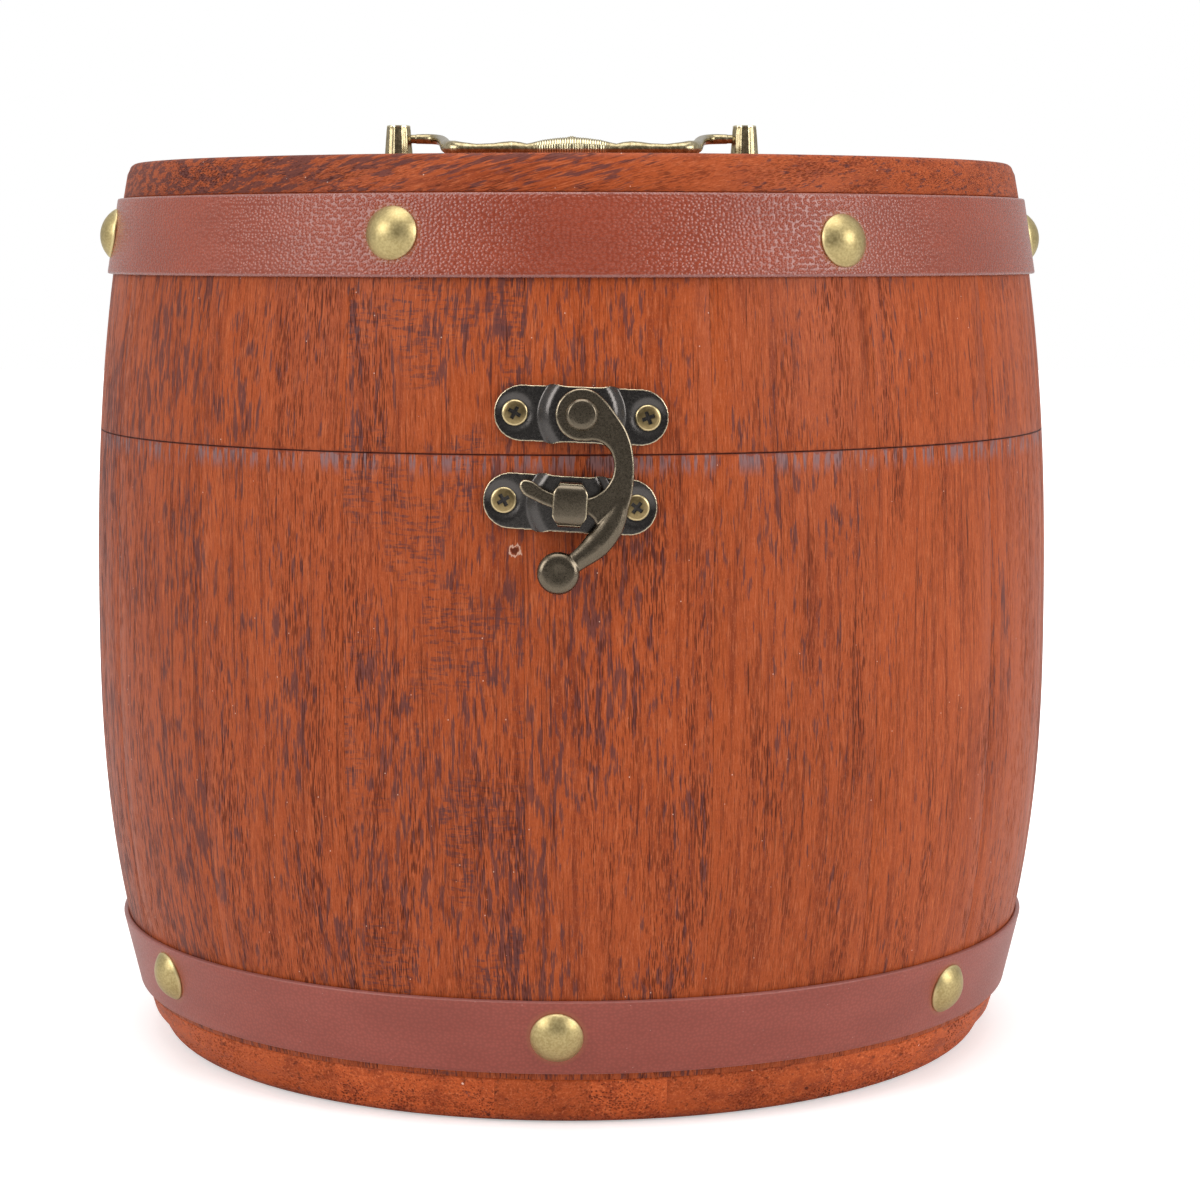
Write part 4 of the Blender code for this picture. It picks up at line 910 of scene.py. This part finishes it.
def wrap(radius, tilt, u, w, n):
    """Point of a plate that is turned by a tilt and wrapped to a wall of that radius."""
    across = u * cos(tilt) + w * sin(tilt)
    up = w * cos(tilt) - u * sin(tilt)
    angle = across / radius
    return Vector(((radius + n) * sin(angle), up, (radius + n) * cos(angle) - radius))


def soften(piece, grain_size, passes):
    """Remesh a piece evenly and smooth it, so that its edges are round as on a pressing or a casting."""
    modify(piece, "REMESH", mode="VOXEL", voxel_size=grain_size)
    modify(piece, "SMOOTH", factor=0.5, iterations=passes)
    bpy.ops.object.shade_smooth()


def latch_plate(name, radius, tilt):
    """A pressed plate, tilted and bent to a wall of that radius."""
    piece = start(name, bpy.ops.mesh.primitive_grid_add, x_subdivisions=150, y_subdivisions=28, size=1)
    for corner in piece.data.vertices:
        u = -PLATE_LENGTH / 2 * cos(pi * (corner.co.x + 0.5))
        over = max(0, abs(u) - (PLATE_LENGTH - PLATE_WIDTH) / 2)
        half = sqrt(max(0, (PLATE_WIDTH / 2) ** 2 - over ** 2))
        w = 2 * corner.co.y * half
        foot = HUMP_HALF + HUMP_SWELL * (1 - (2 * corner.co.y) ** 2)
        dish = ease((DISH_RADIUS - hypot(abs(u) - PLATE_SCREWS, w)) / DISH_RUN)
        n = FIT_GAP + HUMP_RISE * ease((foot - abs(u)) / HUMP_RUN) - DISH_DEPTH * dish
        corner.co = wrap(radius, tilt, u, w, n)
    modify(piece, "SOLIDIFY", thickness=PLATE_THICKNESS, offset=1)
    close()
    soften(piece, 0.13 * MM, 3)
    set_wear(piece, 2)
    return piece


LATCH_X, LATCH_Z, LATCH_TILT = 1.5 * MM, SEAM + 6.3 * MM, radians(2.4)
KEEPER_X, KEEPER_Z, KEEPER_TILT = -0.3 * MM, SEAM - 7.7 * MM, radians(3.4)
latch_radius = barrel_radius(LATCH_Z)
keeper_radius = barrel_radius(KEEPER_Z)
latch_frame = wall_frame(asin(LATCH_X / latch_radius), LATCH_Z)
keeper_frame = wall_frame(asin(KEEPER_X / keeper_radius), KEEPER_Z)
for label, place, radius, tilt, body, angles in (
        ("latch", latch_frame, latch_radius, LATCH_TILT, "lid", (62, 20)),
        ("keeper", keeper_frame, keeper_radius, KEEPER_TILT, "barrel", (30, 52))):
    sheet = latch_plate(f"{label}_sheet", radius, tilt)
    fit(sheet, body, [f"{label}_plate"], bronze, place)
    for side, word, angle in ((-1, "left", angles[0]), (1, "right", angles[1])):
        spot = wrap(radius, tilt, side * PLATE_SCREWS, 0, FIT_GAP + PLATE_THICKNESS - 0.1 * MM)
        lean = Matrix.Rotation(side * PLATE_SCREWS / radius, 4, "Y")
        seat_place = place @ Matrix.Translation(spot) @ lean
        drive(f"{label}_brass_screw_{word}", f"{label}_screw_{word}", seat_place, angle, body)

# Swing hook: a cast arm with a round eye, a curved tongue that goes under the keeper's loop, and a tail
# that twists out to a thumb knob. It turns on a rivet through the upper plate; its edges are rubbed bright.
HOOK_BACK = FIT_GAP + PLATE_THICKNESS + HUMP_RISE + 0.2 * MM
HOOK_THICKNESS = 1.4 * MM
HOOK_FRONT = HOOK_BACK + HOOK_THICKNESS
HOOK_MIDDLE = HOOK_BACK + HOOK_THICKNESS / 2
TONGUE_INNER, TONGUE_OUTER, TONGUE_REACH = 13.3 * MM, 15.2 * MM, 40
KNOB = (-3.8 * MM, -24.9 * MM, HOOK_MIDDLE + 1.0 * MM)
EDGE_ROUND = 0.35 * MM
TAIL_FLAT = 0.58

outline = arc((0, 0), 4 * MM, 275, 50, 10)
outline += mm((5.3, -0.1), (7.1, -3.1), (7.95, -6.5), (8.0, -10.1), (7.3, -14.1), (5.6, -17.3),
              (4.2, -18.4), (2.7, -17.7), (1.8, -16.2))
outline += arc((0, 0), TONGUE_OUTER, -90, -90 - TONGUE_REACH * 0.95, 4)
outline += arc((0, 0), (TONGUE_INNER + TONGUE_OUTER) / 2, -92 - TONGUE_REACH, -90, 1)[:1]
outline += arc((0, 0), TONGUE_INNER, -90 - TONGUE_REACH * 0.95, -86, 4)
outline += mm((2.9, -12.4), (4.4, -10.8), (5.15, -8.8), (5.0, -6.6), (4.0, -4.9), (2.3, -4.0))


def curve_piece(name, closed, points, **settings):
    """Mesh from one smooth curve through points (x, y, z, radius), with the given curve settings."""
    line = bpy.data.curves.new(name, "CURVE")
    for key, value in settings.items():
        setattr(line, key, value)
    run = line.splines.new("BEZIER")
    run.bezier_points.add(len(points) - 1)
    for knot, (x, y, z, radius) in zip(run.bezier_points, points):
        knot.co = (x, y, z)
        knot.radius = radius
        knot.handle_left_type = knot.handle_right_type = "AUTO"
    run.use_cyclic_u = closed
    piece = bpy.data.objects.new(name, line)
    bpy.context.scene.collection.objects.link(piece)
    choose(piece)
    bpy.ops.object.convert(target="MESH")
    piece = bpy.context.object
    close(40)
    return piece


hook = curve_piece("hook_casting", True, [(x, y, 0, 1) for x, y in outline], dimensions="2D",
                   fill_mode="BOTH", extrude=HOOK_THICKNESS / 2 - EDGE_ROUND, bevel_depth=EDGE_ROUND,
                   bevel_resolution=3, offset=-EDGE_ROUND / 2, resolution_u=8)
hook.data.transform(Matrix.Translation((0, 0, HOOK_MIDDLE)))
tail_points = [(x * MM, y * MM, HOOK_MIDDLE + z * MM, r) for x, y, z, r in (
    (6.4, -11.5, 0, 0.8), (5.9, -14.6, 0.06, 1.5), (4.5, -17.6, 0.3, 2.1), (2.3, -20.4, 0.8, 2.2),
    (-0.6, -22.8, 1.4, 1.65))]
tail = curve_piece("hook_tail", False, tail_points + [(*KNOB, 1.5)], dimensions="3D", bevel_depth=1.0 * MM,
                   bevel_resolution=6, use_fill_caps=True, resolution_u=10)
tail.data.transform(Matrix.Translation((0, 0, (1 - TAIL_FLAT) * HOOK_MIDDLE))
                    @ Matrix.Diagonal((1, 1, TAIL_FLAT, 1)))
knob = turned("hook_knob", mm(
    (0, 1.2), (1.6, 1.26), (2.5, 1.2), (3.05, 0.9), (3.38, 0.35), (3.4, -0.1), (3.1, -0.8),
    (2.2, -1.2), (0, -1.35)), 40)
knob.data.transform(Matrix.Translation(KNOB))
for tool in (tail, knob):
    cut(hook, tool, "UNION")
soften(hook, 0.14 * MM, 10)
set_wear(hook, 2)
cast_bronze = metal_paint("hook_bronze", (0.138, 0.112, 0.080, 1), (0.165, 0.135, 0.098, 1),
                          (0.66, 0.56, 0.38, 1), 0.26, 3400)
fit(hook, "hook", ["latch_hook"], cast_bronze, latch_frame)

rivet_seat = HOOK_FRONT + 0.05 * MM
rivet_points = [(r * MM, rivet_seat + z * MM) for r, z in (
    (0, 1.05), (1.5, 1.02), (2.15, 0.9), (2.5, 0.55), (2.58, 0.15), (2.55, 0), (1.1, 0))]
rivet_points += [(r * MM, HOOK_BACK - z * MM) for r, z in ((1.1, 1.0), (1.8, 1.2), (1.8, 1.6), (0, 1.7))]
rivet = turned("rivet_head", rivet_points, 40)
soften(rivet, 0.12 * MM, 3)
set_wear(rivet)
fit(rivet, "lid", ["latch_rivet"], cast_bronze, latch_frame)

# Keeper loop: a short strip of the same bronzed steel, bent into a square arch that the tongue goes under.
# It is crowned and waisted by the press, and its legs are riveted over behind the keeper plate.
LOOP_WIDTH, LOOP_SPAN, LOOP_THICKNESS, LOOP_CORNER = 5.5 * MM, 7.1 * MM, 1.0 * MM, 1.6 * MM
LOOP_WAIST, WAIST_FROM, WAIST_RUN, LOOP_CROWN = 0.34, 1.7 * MM, 1.8 * MM, 0.22 * MM
loop_out = LOOP_SPAN / 2
loop_in = loop_out - LOOP_THICKNESS
loop_under = HOOK_FRONT + 0.8 * MM
loop_top = loop_under + LOOP_THICKNESS
loop_foot = FIT_GAP + HUMP_RISE - 0.6 * MM
inner = LOOP_CORNER - LOOP_THICKNESS
loop_points = [(loop_out, loop_foot)]
loop_points += arc((loop_out - LOOP_CORNER, loop_top - LOOP_CORNER), LOOP_CORNER, 0, 90, 8)
loop_points += arc((LOOP_CORNER - loop_out, loop_top - LOOP_CORNER), LOOP_CORNER, 90, 180, 8)
loop_points += [(-loop_out, loop_foot), (-loop_in, loop_foot)]
loop_points += arc((inner - loop_in, loop_under - inner), inner, 180, 90, 5)
loop_points += arc((loop_in - inner, loop_under - inner), inner, 90, 0, 5) + [(loop_in, loop_foot)]
loop = draw("keeper_strip", loop_points)
bpy.ops.mesh.edge_face_add()
bpy.ops.mesh.extrude_region_move(TRANSFORM_OT_translate={"value": (0, LOOP_WIDTH, 0)})
close()
soften(loop, 0.14 * MM, 14)
for corner in loop.data.vertices:
    narrow = 1 - LOOP_WAIST * ease((abs(corner.co.x) - WAIST_FROM) / WAIST_RUN)
    corner.co.y = LOOP_WIDTH / 2 + (corner.co.y - LOOP_WIDTH / 2) * narrow
    if corner.co.z > loop_under + 0.4 * MM:
        edge = (corner.co.x / loop_out) ** 2 + (2 * corner.co.y / LOOP_WIDTH - 1) ** 2
        corner.co.z -= LOOP_CROWN * edge
set_wear(loop)
loop.data.transform(keeper_frame @ Matrix.Rotation(-KEEPER_TILT, 4, "Z")
                    @ Matrix(((0, 1, 0), (1, 0, 0), (0, 0, 1))).to_4x4()
                    @ Matrix.Translation((0, -LOOP_WIDTH / 2, 0)))
loop.data.flip_normals()
fit(loop, "barrel", ["keeper_loop"], cast_bronze)

# Handle: two fluted posts, screwed on from inside the lid, carry a cast bail that lies forward on the top.
# The bail has dotted leaf arms, a collar, a slim S-shaped shank and an oval grip with a netted surface.
HANDLE_HALF = 32 * MM
POST_HEIGHT, POST_FOOT, POST_TOP = 7.1 * MM, 2.75 * MM, 2.2 * MM
FLUTES, FLUTE_DEPTH = 12, 0.12 * MM
PAN_SEAT = -6.2 * MM - 2 * FIT_GAP
BAIL_RISE = 4.9 * MM
BAIL_REACH = 20 * MM
GRIP_RADIUS = 2.2 * MM
GRIP_HALF = 6.6 * MM
NET_PITCH, NET_TURNS, NET_DEPTH = 0.9 * MM, 9, 0.16
pale_brass = metal_paint("handle_brass", (0.26, 0.21, 0.115, 1), (0.44, 0.37, 0.22, 1),
                         (0.78, 0.70, 0.48, 1), 0.24, 1600)

post_points = [(0, POST_HEIGHT)] + [(POST_TOP + r * MM, POST_HEIGHT - z * MM) for r, z in (
    (-0.3, 0), (-0.05, 0.08), (0, 0.3), (0.01, 0.6))]
post_points += [(POST_FOOT - (POST_FOOT - POST_TOP) * i / 8, POST_HEIGHT * i / 8) for i in range(7, -1, -1)]
post_points += [(0, 0)]
pan_points = mm((0, 2.4), (1, 2.4)) + [(r * MM, PAN_SEAT - z * MM) for r, z in (
    (1, 0), (2.05, 0), (2.1, 0.9), (1.8, 1.35), (1.0, 1.58), (0, 1.6))]
for side, word in ((-1, "left"), (1, "right")):
    post = turned(f"post_{word}", post_points, 96, 50)
    for corner in post.data.vertices:
        turn = atan2(corner.co.y, corner.co.x)
        reach = hypot(corner.co.x, corner.co.y)
        if reach > POST_TOP * 0.9:
            deep = FLUTE_DEPTH * (0.5 + 0.5 * cos(FLUTES * turn))
            deep *= ease(min(corner.co.z, POST_HEIGHT - corner.co.z) / (0.7 * MM))
            corner.co.x *= 1 - deep / reach
            corner.co.y *= 1 - deep / reach
    set_wear(post, 1)
    place = Matrix.Translation((side * HANDLE_HALF, 0, HEIGHT + FIT_GAP))
    fit(post, "lid", [f"handle_post_{word}"], pale_brass, place)
    pan = turned(f"post_screw_{word}", pan_points, 32)
    pan.data.attributes.new("wear_and_shade", "FLOAT", "POINT")
    fit(pan, "lid", [f"handle_screw_{word}"], screw_brass, place)

# From a post to the middle: shares of the shoulder, of the reach and of the grip's radius.
SHOULDER = HANDLE_HALF - POST_FOOT - FIT_GAP
BAIL_DROP = BAIL_RISE - GRIP_RADIUS - FIT_GAP
half = [(HANDLE_HALF - 0.9 * MM, 0, 0.8 * MM), (SHOULDER, 0, 0.8 * MM)]
half += [(SHOULDER * x, BAIL_REACH * y, GRIP_RADIUS * r) for x, y, r in (
    (0.989, 0, 0.40), (0.928, 0, 0.42), (0.88, 0.025, 0.42), (0.846, 0.09, 0.42), (0.818, 0.25, 0.44),
    (0.79, 0.6, 0.48), (0.763, 0.86, 0.56), (0.724, 0.96, 0.62), (0.663, 1, 0.52), (0.586, 1, 0.40),
    (0.486, 1, 0.45), (0.426, 1, 0.56), (0.37, 1, 0.62), (0.32, 1, 0.55), (0.276, 1, 0.42),
    (0.238, 1, 0.52), (0.177, 1, 0.76), (0.088, 1, 0.92))]
bail_points = [(-x, -y, -BAIL_DROP * y / BAIL_REACH, r / MM) for x, y, r in half]
bail_points += [(0, -BAIL_REACH, -BAIL_DROP, GRIP_RADIUS / MM)]
bail_points += [(-x, y, z, r) for x, y, z, r in reversed(bail_points[:-1])]
bail = curve_piece("bail_casting", False, bail_points, dimensions="3D", bevel_depth=MM,
                   bevel_resolution=14, use_fill_caps=True, resolution_u=18)
for corner in bail.data.vertices:
    along = corner.co.x
    ring = Vector((0, corner.co.y + BAIL_REACH, corner.co.z + BAIL_DROP))
    if abs(along) < GRIP_HALF and ring.length < 1.3 * GRIP_RADIUS and ring.length > 0:
        turn = atan2(ring.z, ring.y)
        fade = ease((GRIP_HALF - abs(along)) / (1.2 * MM))
        phase = 2 * pi * along / NET_PITCH
        net = sin(phase + turn * NET_TURNS) * sin(phase - turn * NET_TURNS)
        peak = 0.12 * ease(1 - hypot(along, ring.y) / (1.1 * MM)) if ring.z > 0 else 0
        ring *= 1 - NET_DEPTH * fade * (0.5 - 0.5 * net) + peak
        corner.co.y, corner.co.z = ring.y - BAIL_REACH, ring.z - BAIL_DROP
set_wear(bail, 1)
bail_place = Matrix.Translation((0, 0, HEIGHT + BAIL_RISE))
fit(bail, "bail", ["handle_bail"], pale_brass, bail_place)

# Hinge: a plain bronzed steel butt hinge in the seat at the back, its leaves held by two screws each.
# The body leaf has one rolled knuckle and the lid leaf two, on a pin with a flat head.
HINGE_LENGTH, LEAF_WIDTH, LEAF_THICKNESS, KNUCKLE = 26 * MM, 10 * MM, 0.9 * MM, 1.6 * MM
PIN_RADIUS, PIN_BORE, PIN_HEAD, PIN_HEAD_HEIGHT = 0.75 * MM, 0.85 * MM, 1.17 * MM, 0.5 * MM
HINGE_SCREW_X, HINGE_SCREW_Y = 9.5 * MM, 6 * MM
CHAMFER, LEAF_ROUND = 0.1 * MM, 0.15 * MM
hinge_frame = wall_frame(pi, SEAM)
leaf_back = FIT_GAP - seat_depth
hinge_axis = hinge_frame @ Matrix.Translation((0, 0, leaf_back + KNUCKLE))
lie = Matrix.Rotation(pi / 2, 4, "Y")


def barrel_rod(name, radius, low, high):
    """Rod along the hinge's pin."""
    piece = turned(name, [(0, high), (radius - CHAMFER, high), (radius, high - CHAMFER),
                          (radius, low + CHAMFER), (radius - CHAMFER, low), (0, low)], 32)
    piece.data.transform(lie)
    return piece


third = HINGE_LENGTH / 3
for label, side, thirds, body in (("body", -1, (0,), "barrel"), ("lid", 1, (-1, 1), "lid")):
    near = sorted((side * LEAF_WIDTH, side * FIT_GAP))
    leaf = cube(f"leaf_{label}", (-HINGE_LENGTH / 2, near[0], -KNUCKLE),
                (HINGE_LENGTH / 2, near[1], LEAF_THICKNESS - KNUCKLE))
    round_edges(45, LEAF_ROUND, 2)
    for place in (-1, 0, 1):
        grown = FIT_GAP / 2 * (-1 if place in thirds else 1)
        rod = barrel_rod("knuckle", KNUCKLE if place in thirds else KNUCKLE + FIT_GAP,
                         (place - 0.5) * third - grown, (place + 0.5) * third + grown)
        cut(leaf, rod, "UNION" if place in thirds else "DIFFERENCE")
    cut(leaf, barrel_rod("bore", PIN_BORE, -HINGE_LENGTH, HINGE_LENGTH))
    bpy.ops.object.shade_smooth_by_angle(angle=radians(35))
    leaf.data.attributes.new("wear_and_shade", "FLOAT", "POINT")
    fit(leaf, body, [f"hinge_leaf_{label}"], bronze, hinge_axis)
    row = "lower" if side < 0 else "upper"
    for across, word, angle in ((-1, "right", 30), (1, "left", 65)):
        spot = (across * HINGE_SCREW_X, side * HINGE_SCREW_Y, leaf_back + LEAF_THICKNESS)
        drive(f"hinge_brass_screw_{row}_{word}", f"hinge_screw_{row}_{word}",
              hinge_frame @ Matrix.Translation(spot), angle, body)
pin_end = HINGE_LENGTH / 2 + FIT_GAP
pin = barrel_rod("pin_rod", PIN_RADIUS, -pin_end, pin_end)
cut(pin, barrel_rod("pin_head", PIN_HEAD, pin_end, pin_end + PIN_HEAD_HEIGHT), "UNION")
pin.data.attributes.new("wear_and_shade", "FLOAT", "POINT")
fit(pin, "barrel", ["hinge_pin"], bronze, hinge_axis)
bpy.data.objects.remove(screw, do_unlink=True)
